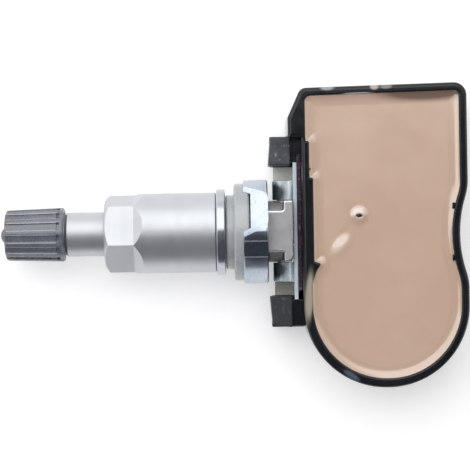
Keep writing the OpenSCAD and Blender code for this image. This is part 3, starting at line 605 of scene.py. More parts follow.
def extruded(solid: Solid, faces: Sequence[bmesh.types.BMFace], way: Corner) -> Solid:
    """Draw faces out into a closed solid.

    Args:
        solid: Mesh that holds nothing but the faces.
        faces: Faces to draw out.
        way: Direction and distance.

    Returns:
        The same solid.
    """
    drawn = bmesh.ops.extrude_face_region(solid, geom=faces)["geom"]
    verts = [v for v in drawn if isinstance(v, bmesh.types.BMVert)]
    bmesh.ops.translate(solid, vec=way, verts=verts)
    return closed(solid)


def prism(points: Sequence[Point], low: float, high: float) -> Solid:
    """Raise an outline into a solid between two heights.

    Args:
        points: Points of the outline.
        low: Lower height.
        high: Upper height.

    Returns:
        The solid.
    """
    solid = bmesh.new()
    base = bmesh.ops.contextual_create(solid, geom=ring(solid, points, low))["faces"]
    return extruded(solid, base, (0, 0, high - low))


def rectangle(x0: float, x1: float, y0: float, y1: float) -> list[Point]:
    """List the corners of a rectangle anticlockwise."""
    return [(x0, y0), (x1, y0), (x1, y1), (x0, y1)]


def softened(solid: Solid, width: float, segments: int = 2, angle: float = 30.0,
             where: Callable[[Vector], bool] | None = None, material: int = -1) -> Solid:
    """Round the sharp edges of a solid.

    Args:
        solid: Mesh to round.
        width: Width of the rounding in millimetres.
        segments: Facets across the rounding.
        angle: Edges that turn more than this are rounded.
        where: Test of an edge's middle, to round only some.
        material: Material number of the rounding, -1 for that of the faces beside it.

    Returns:
        The same solid.
    """
    limit = math.radians(angle)
    edges = [e for e in solid.edges if len(e.link_faces) == 2 and e.calc_face_angle(0.0) > limit]
    if where:
        edges = [e for e in edges if where((e.verts[0].co + e.verts[1].co) / 2)]
    bmesh.ops.bevel(solid, geom=edges, offset=width, offset_type="OFFSET", affect="EDGES", segments=segments,
                    profile=0.5, material=material, clamp_overlap=True)
    return solid


def sliced(solid: Solid, place: Sequence[float], outward: Sequence[float]) -> Solid:
    """Cut away what lies beyond a plane and close the cut.

    Args:
        solid: Mesh to cut.
        place: A point of the plane.
        outward: Direction in which the mesh is cut away.

    Returns:
        The same solid.
    """
    cut = bmesh.ops.bisect_plane(solid, geom=[*solid.verts, *solid.edges, *solid.faces], plane_co=place,
                                 plane_no=outward, clear_outer=True)["geom_cut"]
    edges = [e for e in cut if isinstance(e, bmesh.types.BMEdge)]
    bmesh.ops.triangle_fill(solid, use_beauty=True, edges=edges)
    return closed(solid)


def cad_copy(node: str) -> Solid:
    """Copy a CAD node's mesh, merged and with its flat faces whole, in millimetres.

    Args:
        node: Name of the CAD node.

    Returns:
        The copy.
    """
    flat = math.radians(1)
    solid = bmesh.new()
    solid.from_mesh(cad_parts[node].data)
    bmesh.ops.scale(solid, vec=Vector((1, 1, 1)) / MM, verts=solid.verts)
    bmesh.ops.remove_doubles(solid, verts=solid.verts, dist=MERGE_DISTANCE)
    bmesh.ops.dissolve_limit(solid, angle_limit=flat, verts=solid.verts, edges=solid.edges)
    return solid


def mesh_of(name: str, solid: Solid) -> bpy.types.Mesh:
    """Turn a solid into a mesh and free it."""
    mesh = bpy.data.meshes.new(name)
    solid.to_mesh(mesh)
    solid.free()
    return mesh


def linked(name: str, data: bpy.types.ID) -> bpy.types.Object:
    """Put a mesh, a lamp or a camera in the scene as an object."""
    holder = bpy.data.objects.new(name, data)
    bpy.context.scene.collection.objects.link(holder)
    return holder


class Joining(Enum):
    """Ways of putting two solids together."""

    ADD = "UNION"
    CUT = "DIFFERENCE"


def combined(base: Solid, tool: Solid, joining: Joining) -> Solid:
    """Join a solid to another, or cut it from it.

    Args:
        base: Solid that is kept.
        tool: Solid that is added or cut away.
        joining: Which of the two is done.

    Returns:
        The result as a new solid. Both inputs are freed.
    """
    objects = [linked(label, mesh_of(label, solid)) for label, solid in (("base", base), ("tool", tool))]
    modifier = objects[0].modifiers.new("joint", "BOOLEAN")
    modifier.operation = joining.value
    modifier.solver = "EXACT"
    modifier.object = objects[1]
    result = bmesh.new()
    result.from_object(objects[0], bpy.context.evaluated_depsgraph_get())
    for thing in objects:
        bpy.data.meshes.remove(thing.data)
    bmesh.ops.remove_doubles(result, verts=result.verts, dist=MERGE_DISTANCE)
    return result


def creased(solid: Solid) -> Solid:
    """Mark the edges round level faces, so that level faces stay level in shading.

    Args:
        solid: Mesh to mark.

    Returns:
        The same solid.
    """
    level = 0.99999
    for edge in solid.edges:
        flat = {face.normal.z > level for face in edge.link_faces}
        if len(flat) > 1:
            edge.smooth = False
    return solid


def made_piece(name: str, solid: Solid, finishes: Sequence[Finish], body: str,
               nodes: Sequence[str] = ()) -> bpy.types.Object:
    """Turn a solid in millimetres into a finished piece that rides on its body.

    Args:
        name: Name of the piece.
        solid: Its mesh, which is freed.
        finishes: Materials in the order of the faces' material numbers.
        body: CAD body that carries the piece.
        nodes: CAD nodes that the piece stands for.

    Returns:
        The piece.
    """
    bmesh.ops.scale(solid, vec=(MM, MM, MM), verts=solid.verts)
    for face in solid.faces:
        face.smooth = True
    for edge in solid.edges:
        if len(edge.link_faces) == 2 and edge.calc_face_angle(0.0) > SHARP_ANGLE:
            edge.smooth = False
    mesh = mesh_of(name, solid)
    for finish in finishes:
        mesh.materials.append(finish.material())
    piece = linked(name, mesh)
    flat_faces = piece.modifiers.new("flat_faces", "WEIGHTED_NORMAL")
    flat_faces.keep_sharp = True
    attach(piece, body)
    if nodes:
        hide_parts(*nodes)
    LOG.info("%s: %d faces on %s", name, len(mesh.polygons), body)
    return piece


def dress(finish: Finish, *nodes: str) -> None:
    """Give CAD nodes that stay as they are a finish.

    Args:
        finish: The finish.
        *nodes: Names of the CAD nodes.
    """
    for name in nodes:
        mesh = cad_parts[name].data
        mesh.materials.clear()
        mesh.materials.append(finish.material())
        LOG.info("%s: dressed as %s", name, finish.name)


@dataclass
class Valve:
    """The valve: stem with its threads, foot and T boss, the core, and the seat on the rim."""

    thread_r: float = 3.85
    thread_depth: float = 0.42
    pitch: float = 0.794
    tip_x: float = -38.6
    cap_thread_end: float = -30.1
    neck_x: float = -29.4
    nut_thread: tuple[float, float] = (-21.6, -0.9)
    core_bore_r: float = 2.6
    cone: tuple[float, float] = (-33.2, -32.0)
    well_r: float = 1.9
    well_end_x: float = -16.7
    air_r: float = 1.3
    joint_x: float = -0.6
    collar_back_x: float = 5.93
    foot_r: float = 5.35
    bar_x: float = 8.55
    boss_back_x: float = 10.3
    boss_low: float = 3.81
    boss_top: float = 5.6
    boss_half: float = 3.6
    boss_round: float = 0.35
    bar_half: float = 5.325
    bar_corner_r: float = 1.2
    flat_turn: float = 19.6
    flat_r: float = 8.93
    flat_edge_turn: float = 4.4
    flat_edge_r: float = 9.005
    collar_round: float = 0.06

    def build(self) -> None:
        """Make every piece of the valve."""
        self.stem()
        self.seat()
        self.core()

    def thread(self, start: float, end: float) -> Solid:
        """Wind a thread's ridge between two planes.

        Args:
            start: Plane nearest the tip.
            end: Plane nearest the housing.

        Returns:
            The ridge as a closed solid, its root sunk in the stem.
        """
        per_turn = 36
        sunk, root_share, crest_share = 0.12, 0.47, 0.09
        root = self.thread_r - self.thread_depth - sunk
        half_root, half_crest = self.pitch * root_share, self.pitch * crest_share
        turns = math.ceil((end - start) / self.pitch) + 2
        first = start - self.pitch
        solid = bmesh.new()
        section = [(first - half_root, root), (first - half_crest, self.thread_r),
                   (first + half_crest, self.thread_r), (first + half_root, root)]
        edges = loop(solid, [(x, 0.0, r) for x, r in section])
        steps = turns * per_turn
        wound = bmesh.ops.spin(solid, geom=edges, cent=(0, 0, 0), axis=(1, 0, 0),
                               dvec=(self.pitch / per_turn, 0, 0), angle=-math.tau * turns, steps=steps)
        last = [e for e in wound["geom_last"] if isinstance(e, bmesh.types.BMEdge)]
        capped(solid, edges, last)
        sliced(solid, (start, 0, 0), (-1, 0, 0))
        return sliced(solid, (end, 0, 0), (1, 0, 0))

    def turned_part(self) -> Solid:
        """Turn the stem's shank with its bore, cap thread, relief groove and nut thread.

        Returns:
            The shank as a solid.
        """
        chamfer, mouth, taper, edge, thread_in = 0.4, 0.15, 1, 0.05, 0.12
        root = self.thread_r - self.thread_depth
        start, end = self.nut_thread
        profile = [(self.tip_x, self.core_bore_r + mouth), (self.tip_x, root), (self.cap_thread_end, root),
                   (self.neck_x, root), (self.neck_x + chamfer, self.thread_r),
                   (start - chamfer, self.thread_r), (start, root), (end, root), (0.0, root),
                   (0.0, self.air_r), (self.well_end_x + taper, self.air_r), (self.well_end_x, self.well_r),
                   (self.cone[1], self.well_r), (self.cone[0], self.core_bore_r),
                   (self.tip_x + mouth, self.core_bore_r)]
        shank = softened(lathed(profile), edge, where=lambda p: p.x > self.cap_thread_end)
        for low, high in ((self.tip_x + thread_in, self.cap_thread_end), self.nut_thread):
            shank = combined(shank, self.thread(low, high), Joining.ADD)
        return shank

    def boss(self) -> Solid:
        """Forge the T boss with its rounded upper edge.

        Returns:
            The boss as a solid.
        """
        facets, upright, level = 5, 0.05, 0.99
        hidden, sharp, inner_r, outer_r = 0.4, 0.05, 0.3, 0.45
        back, front, left = self.boss_back_x, self.bar_x, self.collar_back_x - hidden
        outline = Outline(((left, -self.boss_half, sharp), (front, -self.boss_half, inner_r),
                           (front, -self.bar_half, outer_r), (back, -self.bar_half, self.bar_corner_r),
                           (back, self.bar_half, outer_r), (front, self.bar_half, outer_r),
                           (front, self.boss_half, inner_r), (left, self.boss_half, sharp)))
        solid = bmesh.new()
        rings = [ring(solid, outline.points(), self.boss_low)]
        for inwards, down in quarter_round(facets):
            rings.append(ring(solid, outline.points(self.boss_round * inwards),
                              self.boss_top - self.boss_round * down))
        bridged(solid, rings)
        capped(solid, rings[0], rings[-1])
        closed(solid)
        for face in solid.faces:
            # the rounded upper edge takes the burnished finish, painted lighter as highlights
            face.material_index = 2 if upright < face.normal.z < level else 1
        return solid

    def stem(self) -> None:
        """Join the turned shank to the forged foot and its T boss."""
        foot_under, disc_under = 0.1, 0.2
        edge, facets, sharp = 0.25, 3, 40.0
        foot = sliced(cad_copy("valve_stem"), (self.joint_x, 0, 0), (-1, 0, 0))
        sliced(foot, (0, 0, self.boss_low - foot_under), (0, 0, 1))
        disc = lathed([(self.collar_back_x, 0.0), (self.collar_back_x, self.foot_r),
                       (self.bar_x, self.foot_r), (self.bar_x, 0.0)])
        sliced(softened(disc, edge, facets, sharp), (0, 0, self.boss_low - disc_under), (0, 0, -1))
        for solid in (foot, disc):
            for face in solid.faces:
                face.material_index = int(face.calc_center_median().x > self.collar_back_x)
        whole = combined(combined(foot, disc, Joining.ADD), self.boss(), Joining.ADD)
        whole = combined(whole, self.turned_part(), Joining.ADD)
        made_piece("stem_threaded", whole, [TURNED_ALUMINIUM, FORGED_ALUMINIUM, HIGHLIGHT_EDGE_ALUMINIUM], "valve",
                   ["valve_stem"])

    def seat(self) -> None:
        """Make the grommet, the collar behind it and the hinge pin."""
        spigot_r, seat_round, pin_round = 5.6, 0.12, 0.15
        grommet = softened(cad_copy("grommet"), seat_round, where=lambda p: math.hypot(p.y, p.z) > spigot_r)
        made_piece("grommet_moulded", grommet, [GREY_RUBBER], "valve", ["grommet"])
        self.collar()
        made_piece("hinge_pin_ground", softened(cad_copy("hinge_pin"), pin_round), [GROUND_STEEL], "valve",
                   ["hinge_pin"])

    def collar(self) -> None:
        """Mill the narrow flat on the collar's side, painted darker as a reflection, with its edge facets
        painted lighter as highlights.
        """
        aligned, tolerance = 0.9999, 0.005
        turn = math.radians(self.flat_turn)
        outward = Vector((0, -math.sin(turn), math.cos(turn)))
        # flat (material 1): painted dark reflection; edge facets (material 2): painted highlight lines
        cuts = [(outward, self.flat_r, 1)]
        for lean in (-self.flat_edge_turn, self.flat_edge_turn):
            cuts.append((Matrix.Rotation(math.radians(lean), 3, "X") @ outward, self.flat_edge_r, 2))
        collar = cad_copy("collar")
        for direction, distance, _ in cuts:
            collar = sliced(collar, direction * distance, direction)
        collar = softened(collar, self.collar_round)
        for face in collar.faces:
            face.material_index = 0
            middle = face.calc_center_median()
            for direction, distance, material in cuts:
                if face.normal.dot(direction) > aligned and middle.dot(direction) > distance - tolerance:
                    face.material_index = material
        made_piece("collar_plated", collar, [ZINC_PLATE, DARK_ZINC, HIGHLIGHT_EDGE_ALUMINIUM], "valve",
                   ["collar"])

    def core(self) -> None:
        """Dress the valve core and give its spring a mesh of its own."""
        dress(TURNED_BRASS, "core_body", "core_pin")
        dress(PTFE, "core_ring")
        dress(BLACK_RUBBER, "core_cup")
        spring = made_piece("core_spring_wound", cad_copy("core_spring"), [DRAWN_STEEL], "valve",
                            ["core_spring"])
        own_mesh(spring)


@dataclass
class Cap:
    """The moulded cap with its gripping grooves, and the seal in its crown."""

    mouth_x: float = -29.6
    crown_x: float = -39.85
    bore_end_x: float = -39.2
    mouth_r: float = 4.7
    crown_r: float = 4.45
    bore_r: float = 3.9
    crown_round: float = 0.7
    mouth_edge: float = 0.25
    lead_in: float = 0.3
    band_w: float = 1.2
    grooves: int = 13
    groove_w: float = 1.2
    groove_depth: float = 0.35
    groove_turn: float = 19.0
    notch_depth: float = 0.6
    notch_len: float = 0.55
    rib_edge_r: float = 0.16
    nub_r: float = 1.3
    nub_h: float = 0.95

    def build(self) -> None:
        """Make the cap and dress its seal."""
        self.shell()
        dress(BLACK_RUBBER, "cap_seal")

    def rib_r(self, x: float) -> float:
        """Give the radius over the ribs at a distance from the rim seat."""
        start, end = self.crown_x + self.crown_round, self.mouth_x - self.band_w
        share = min(1.0, max(0.0, (x - start) / (end - start)))
        return self.crown_r + share * (self.mouth_r - self.crown_r)

    def section(self, rib_r: float, floor_r: float) -> list[Point]:
        """Draw the cap's outside across its axis, with rounded ribs and groove floors.

        Args:
            rib_r: Radius over the ribs.
            floor_r: Radius at the groove floors.

        Returns:
            Points as height and side, as many for all radii.
        """
        fixed_step, most, crest_r = 360.0, 0.4, 2.0
        pitch = math.tau / self.grooves
        edge_r = min(self.rib_edge_r, most * (rib_r - floor_r))
        corners = []
        for k in range(self.grooves):
            middle = math.radians(self.groove_turn) + k * pitch
            for radius, side in ((rib_r, -1), (floor_r, -1), (floor_r, 1), (rib_r, 1)):
                turn = middle + math.asin(side * self.groove_w / 2 / radius)
                corners.append((radius * math.cos(turn), radius * math.sin(turn), edge_r))
            turn = middle + pitch / 2
            corners.append((rib_r * math.cos(turn), rib_r * math.sin(turn), crest_r))
        return Outline(tuple(corners), fixed_step, fixed_step).points()

    def stations(self) -> list[tuple[float, float, float]]:
        """List the sections of the outside from the crown to the mouth.

        Returns:
            Distance from the rim seat, radius over the ribs and radius at the floors.
        """
        facets, edge_facets, lengths = 7, 3, 5
        least, runout, step = 0.01, 0.05, 0.03
        band_x = self.mouth_x - self.band_w
        floor = self.mouth_r - self.groove_depth
        slope = (self.mouth_r - self.crown_r) / (band_x - self.crown_x)
        found = []
        for inwards, down in quarter_round(facets):
            x = self.crown_x + self.crown_round * inwards
            rib = self.rib_r(x) - self.crown_round * down
            found.append((x, rib, min(floor - slope * (band_x - x), rib - least)))
        start = self.crown_x + self.crown_round
        for k in range(1, lengths + 1):
            x = start + (band_x - start) * k / lengths
            found.append((x, self.rib_r(x), floor - slope * (band_x - x)))
        notch, notch_end = self.mouth_r - self.notch_depth, band_x + self.notch_len
        found += [(band_x + runout, self.mouth_r, notch), (notch_end, self.mouth_r, notch),
                  (notch_end + step, self.mouth_r, self.mouth_r - least),
                  (self.mouth_x - self.mouth_edge, self.mouth_r, self.mouth_r - least)]
        for inwards, down in quarter_round(edge_facets)[1:]:
            rib = self.mouth_r - self.mouth_edge * inwards
            found.append((self.mouth_x - self.mouth_edge * down, rib, rib - least))
        return found

    def on_rib_edge(self, place: Vector) -> bool:
        """Tell whether a place lies on the edge of a rib.

        Args:
            place: Place on the cap's outside.

        Returns:
            Whether fingers wear it smoother and it takes the painted highlight.
        """
        share = 0.75
        radius, pitch = math.hypot(place.y, place.z), math.tau / self.grooves
        turn = math.atan2(place.y, place.z) - math.radians(self.groove_turn)
        side = abs(radius * math.sin(turn - round(turn / pitch) * pitch))
        near = abs(side - self.groove_w / 2) < self.rib_edge_r
        high = radius > self.rib_r(place.x) - share * self.rib_edge_r
        return near and high and place.x < self.mouth_x - self.band_w

    def shell(self) -> None:
        """Mould the cap: grooved outside, nub and plain bore."""
        sides = 72
        solid = bmesh.new()
        outside = [ring(solid, self.section(rib, floor), x) for x, rib, floor in self.stations()]
        nub = [(1.0, 0.0), (0.97, 0.25), (0.88, 0.5), (0.7, 0.75), (0.4, 0.94)]
        circles = [(self.nub_r * wide, self.crown_x - self.nub_h * high) for wide, high in nub]
        bore = [(self.bore_r + self.lead_in, self.mouth_x), (self.bore_r, self.mouth_x - self.lead_in),
                (self.bore_r, self.bore_end_x)]
        rounds = []
        for group in (circles, bore):
            rounds.append([ring(solid, [(r * y, r * z) for y, z in circle(sides)], x) for r, x in group])
        for group in (outside, *rounds):
            bridged(solid, group)
        bmesh.ops.triangle_fill(solid, use_beauty=True, edges=outside[0] + rounds[0][0])
        bmesh.ops.triangle_fill(solid, use_beauty=True, edges=outside[-1] + rounds[1][0])
        capped(solid, rounds[0][-1], rounds[1][-1])
        lie_down = Matrix(((0, 0, 1, 0), (0, 1, 0, 0), (1, 0, 0, 0), (0, 0, 0, 1)))
        bmesh.ops.transform(solid, matrix=lie_down, verts=solid.verts)
        closed(solid)
        for face in solid.faces:
            # rib edges take the worn finish, painted lighter as highlights
            face.material_index = int(self.on_rib_edge(face.calc_center_median()))
        made_piece("cap_moulded", solid, [GREY_POLYAMIDE, WORN_HIGHLIGHT_POLYAMIDE], "cap", ["cap"])


@dataclass
class Fastening:
    """The sleeve nut and the washer that it presses on the rim."""

    edge: float = 0.07

    def build(self) -> None:
        """Make the nut and the washer."""
        made_piece("sleeve_nut_milled", softened(cad_copy("sleeve_nut"), self.edge), [MILLED_ALUMINIUM],
                   "nut", ["sleeve_nut"])
        made_piece("washer_polished", softened(cad_copy("washer"), self.edge), [POLISHED_STEEL],
                   "nut_carrier", ["washer"])


@dataclass
class Housing:
    """The moulded housing with its clips, the bracket in them, the damping strip and the resin."""

    front: float = 11.8
    back: float = 40.4
    up: float = 24.9
    down: float = 27.2
    edge_fall: float = 0.6
    rim_top: float = 6.5
    base_z: float = -9.2
    floor_z: float = -7.7
    base_round: float = 1.1
    rim_round: float = 0.7
    lip_round: float = 0.3
    wall: float = 1.4
    cell_wall: float = 1.6
    front_wall: float = 1.95
    waist_depth: float = 1.45
    waist_r: float = 21.5
    shoulder_r: float = 10.0
    waist_down: float = 1.0
    corner_r: float = 2.2
    arc_gap: float = 0.15
    slope_run: float = 2.3
    slope_drop: float = 5.4
    step_h: float = 3.4
    ledge: float = 0.62
    ledge_up: float = 9.1
    prong_down: float = 5.3
    prong_reach: float = 1.15
    resin_top: float = 5.7
    port: Point = (21.6, 2.45)
    plate_x: float = 10.35
    clip_front: float = 6.15
    clip_t: float = 3.8
    clip_foot_x: float = 7.2
    clip_bridge: Point = (11.95, 2.3)
    clip_in: float = 11.45
    clip_past: Point = (0.4, 0.6)
    clip_top: float = 3.2
    clip_lean: float = 0.4
    shelf_z: float = -5.22
    shelf_in: float = 8.97
    nibs: tuple[tuple[float, float, float, float], ...] = (
        (37.9, 3.9, 1.1, 0.6), (37.8, -5.0, 1.1, 0.6), (12.75, 14.1, 1.5, 0.7), (12.7, 12.5, 1.2, 0.4),
        (12.9, 10.6, 0.35, 0.9))
    knuckle: Point = (5.47, 8.77)
    wing_top: float = -4.0
    plate_top: float = 2.6
    web_bend: tuple[Point, ...] = ((8.35, 1.75), (9.45, 1.73), (10.05, 2.0), (10.45, 2.45))
    web_t: float = 0.7
    bends: dict[str, float] = field(default_factory=dict)

    def build(self) -> None:
        """Make the housing, the resin in it and the pieces that it holds."""
        angle = math.acos(1 - self.waist_depth / (self.waist_r + self.shoulder_r))
        half = (self.waist_r + self.shoulder_r) * math.sin(angle) - self.shoulder_r * math.tan(angle / 2)
        self.bends = {"angle": angle, "half": half}
        self.shell()
        self.resin()
        self.carrier()
        self.electronics()

    def far_corners(self, inset: float) -> list[Corner]:
        """List the corners of the far wall from the round end upwards.

        Args:
            inset: Distance that the wall is moved inwards.

        Returns:
            The corners.
        """
        x = self.back - inset
        reach = self.bends["half"] + inset * math.tan(self.bends["angle"] / 2)
        waist_x = x - reach * math.tan(self.bends["angle"])
        return [(x, -self.waist_down - reach, self.shoulder_r - inset - self.arc_gap),
                (waist_x, -self.waist_down, self.waist_r + inset - self.arc_gap),
                (x, -self.waist_down + reach, self.shoulder_r - inset - self.arc_gap),
                (x, self.up + self.edge_fall / 2 - inset, self.corner_r - inset)]

    def outside(self) -> Outline:
        """Give the outline of the housing.

        Returns:
            The outline.
        """
        top_r, slope_r, step_r, root_r = 1.5, 0.8, 0.4, 0.3
        end_r = (self.back - self.front) / 2 - self.arc_gap
        clip_out = self.up - self.slope_drop - self.step_h
        return Outline(((self.front, self.up - self.edge_fall / 2, top_r),
                        (self.front - self.slope_run, self.up - self.slope_drop, slope_r),
                        (self.front - self.slope_run, clip_out, step_r), (self.front, clip_out, root_r),
                        (self.front, -self.down, end_r), (self.back, -self.down, end_r),
                        *self.far_corners(0.0)))

    def pocket(self) -> Outline:
        """Give the outline of the pocket that holds the electronics.

        Returns:
            The outline.
        """
        top_r, ledge_r, prong_r, notch_r, neck_r = 1.0, 0.25, 0.2, 0.4, 0.5
        prong_fall, notch_x, notch_fall, neck_fall = 0.4, 0.4, 1.6, 3.7
        inner = self.front + self.front_wall
        left, right = self.front + self.cell_wall, self.back - self.wall
        low = -self.down + self.cell_wall
        pocket_r = (right - left) / 2 - self.arc_gap
        upper_y = self.up - self.slope_drop - self.step_h - self.wall / 2
        tip = -self.prong_down
        return Outline(((inner - 2 * self.ledge, self.up - self.wall - self.edge_fall / 2, top_r),
                        (inner - 2 * self.ledge, upper_y, ledge_r), (inner - self.ledge, upper_y, ledge_r),
                        (inner - self.ledge, self.ledge_up, ledge_r), (inner, self.ledge_up, ledge_r),
                        (inner, tip, prong_r), (inner + self.prong_reach, tip - prong_fall, prong_r),
                        (inner + notch_x, tip - notch_fall, notch_r), (left, tip - neck_fall, neck_r),
                        (left, low, pocket_r), (right, low, pocket_r), *self.far_corners(self.wall)))

    def shell(self) -> None:
        """Mould the wall, floor and rim, with the clips in front."""
        facets = 6
        nib_h, nib_under, nib_round = 1.2, 0.06, 0.12
        before, beside = 0.02, 0.1
        solid = bmesh.new()
        outside, pocket = self.outside(), self.pocket()
        edge = quarter_round(facets)
        walls = [ring(solid, outside.points(self.base_round * inwards), self.base_z + self.base_round * up)
                 for up, inwards in edge]
        walls += [ring(solid, outside.points(self.rim_round * inwards), self.rim_top - self.rim_round * down)
                  for inwards, down in edge]
        inner = [ring(solid, pocket.points(-self.lip_round * outwards), self.rim_top - self.lip_round * down)
                 for outwards, down in reversed(edge)]
        inner.append(ring(solid, pocket.points(), self.floor_z))
        bridged(solid, walls)
        bridged(solid, inner)
        capped(solid, walls[0], inner[-1])
        bmesh.ops.triangle_fill(solid, use_beauty=True, edges=walls[-1] + inner[0])
        closed(solid)
        clip_out = self.up - self.slope_drop - self.step_h
        for side, past in zip((1, -1), self.clip_past):
            for part in self.clip(side, clip_out + past):
                solid = combined(solid, part, Joining.ADD)
        for x, y, long, wide in self.nibs:
            nib = prism(rectangle(x - wide / 2, x + wide / 2, y - long / 2, y + long / 2),
                        self.rim_top - nib_h, self.rim_top - nib_under)
            solid = combined(solid, softened(nib, nib_round), Joining.ADD)
        wall_x = self.front - self.slope_run - before
        clip_back = self.clip_front + self.clip_t + before
        clip_end = clip_out + max(self.clip_past) + beside
        for face in solid.faces:
            middle = face.calc_center_median()
            on_clip = middle.x < clip_back and abs(middle.y) < clip_end
            face.material_index = int(middle.x < wall_x or on_clip)
        made_piece("housing_moulded", creased(solid), [GLOSS_PBT, MATT_PBT], "sensor",
                   ["housing"])

    def clip(self, side: int, outer: float) -> list[Solid]:
        """Make one clip: a post, the bridge to the housing past the bracket's end, and the shelf.

        Args:
            side: 1 for the upper clip and -1 for the lower.
            outer: Distance of the clip's outer face from the axis.

        Returns:
            The clip's solids.
        """
        in_post, in_wall, bridge_gap = 0.6, 0.4, 0.25
        shelf_in_wall, shelf_past, sunk = 0.5, 0.3, 0.05
        post_round, post_facets, bridge_round, shelf_round = 0.22, 3, 0.12, 0.15
        lean_x, back_x = self.clip_front + self.clip_lean, self.clip_front + self.clip_t
        wall_x, shelf_out = self.front + shelf_in_wall, outer + shelf_past
        post = [(self.clip_front, self.clip_in), (back_x, self.clip_in), (back_x, outer),
                (lean_x, outer - self.clip_lean)]
        bridge_in, bridge_top = self.clip_bridge
        bridge = rectangle(back_x - in_post, self.front + in_wall, bridge_in, outer - bridge_gap)
        shelf = [(self.clip_foot_x, self.shelf_in), (wall_x, self.shelf_in), (wall_x, shelf_out),
                 (lean_x, shelf_out), (lean_x, self.clip_in), (self.clip_foot_x, self.clip_in)]
        low = self.shelf_z - sunk
        parts = [softened(prism(post, low, self.clip_top), post_round, post_facets),
                 softened(prism(bridge, low, bridge_top), bridge_round),
                 softened(prism(shelf, self.base_z + self.base_round, self.shelf_z), shelf_round)]
        if side < 0:
            for part in parts:
                bmesh.ops.scale(part, vec=(1, -1, 1), verts=part.verts)
                bmesh.ops.recalc_face_normals(part, faces=part.faces)
        return parts

    def resin(self) -> None:
        """Pour the resin: level, climbing at the wall, with a raised ring round the port."""
        climb, reach, bond = 0.45, 2.1, 0.02
        facets, sides = 8, 36
        solid = bmesh.new()
        pocket = self.pocket()
        edge = []
        for k in range(facets + 1):
            share = k / facets
            edge.append(ring(solid, pocket.points(bond + reach * share),
                             self.resin_top + climb * (1 - share) ** 3))
        skirt = ring(solid, pocket.points(bond), self.floor_z + bond)
        x, y = self.port
        mound = [(1.9, 0.0, 1.0), (1.5, 0.06, 1.0), (1.2, 0.18, 0.95), (0.95, 0.3, 0.85), (0.75, 0.33, 0.7),
                 (0.6, 0.18, 0.5), (0.53, -0.3, 0.42), (0.45, -2.5, 0.42)]
        rings = []
        for radius, height, squash in mound:
            oval = [(x + radius * along, y + radius * squash * across) for along, across in circle(sides)]
            rings.append(ring(solid, oval, self.resin_top + height))
        bridged(solid, [skirt, *edge])
        bridged(solid, rings)
        capped(solid, skirt, rings[-1])
        bmesh.ops.triangle_fill(solid, use_beauty=True, edges=edge[-1] + rings[0])
        closed(solid)
        made_piece("resin_poured", solid, [BEIGE_RESIN], "sensor", ["potting"])

    def carrier(self) -> None:
        """Make the bracket and the damping strip."""
        plate_round, strip_round = 0.1, 0.12
        before, beside, upwards = 0.05, 0.1, 0.5
        plate = softened(cad_copy("bracket"), plate_round)
        for side in (1, -1):
            plate = combined(plate, self.web(side), Joining.ADD)
        near, far = self.knuckle[0] - beside, self.knuckle[1] + beside
        for face in plate.faces:
            middle = face.calc_center_median()
            # wings: pale finish painted against the clip's shadow, with painted shade on the lower wing
            if middle.z < self.wing_top and middle.x < self.plate_x:
                face.material_index = 1
            # knuckles: painted dark reflections
            elif middle.x < self.plate_x - before and near < abs(middle.y) < far:
                face.material_index = 3
            else:
                # the upward face of the plate's top edge: painted highlight
                face.material_index = 2 * int(face.normal.z > upwards and middle.z > self.plate_top)
        made_piece("bracket_plated", plate, [ZINC_PLATE, DULL_ZINC, SHEARED_HIGHLIGHT_ZINC, ROLLED_REFLECTION_ZINC], "sensor",
                   ["bracket"])
        made_piece("damping_strip_cut", softened(cad_copy("damping_strip"), strip_round), [FOAM_RUBBER],
                   "sensor", ["damping_strip"])

    def web(self, side: int) -> Solid:
        """Bend the sheet from one knuckle up to the bracket's plate.

        Args:
            side: 1 for the upper knuckle and -1 for the lower.

        Returns:
            The bend as a solid.
        """
        section = [*self.web_bend, *((x, z - self.web_t) for x, z in reversed(self.web_bend))]
        low, high = sorted((side * self.knuckle[0], side * self.knuckle[1]))
        web = bmesh.new()
        base = web.faces.new([web.verts.new((x, low, z)) for x, z in section])
        return extruded(web, [base], (0, high - low, 0))

    def electronics(self) -> None:
        """Dress what the resin covers."""
        dress(NICKEL_PLATE, "coin_cell", "cell_tab_upper", "cell_tab_lower", "crystal")
        dress(MASKED_LAMINATE, "circuit_board")
        dress(EPOXY_PACKAGE, "pressure_sensor", "control_chip")
        dress(GROUND_STEEL, "port_tube")
        dress(FERRITE, "coil_core")
        dress(ENAMELLED_COPPER, "coil_winding")
        dress(TURNED_BRASS, "antenna")
        dress(FIRED_CERAMIC, "capacitors")


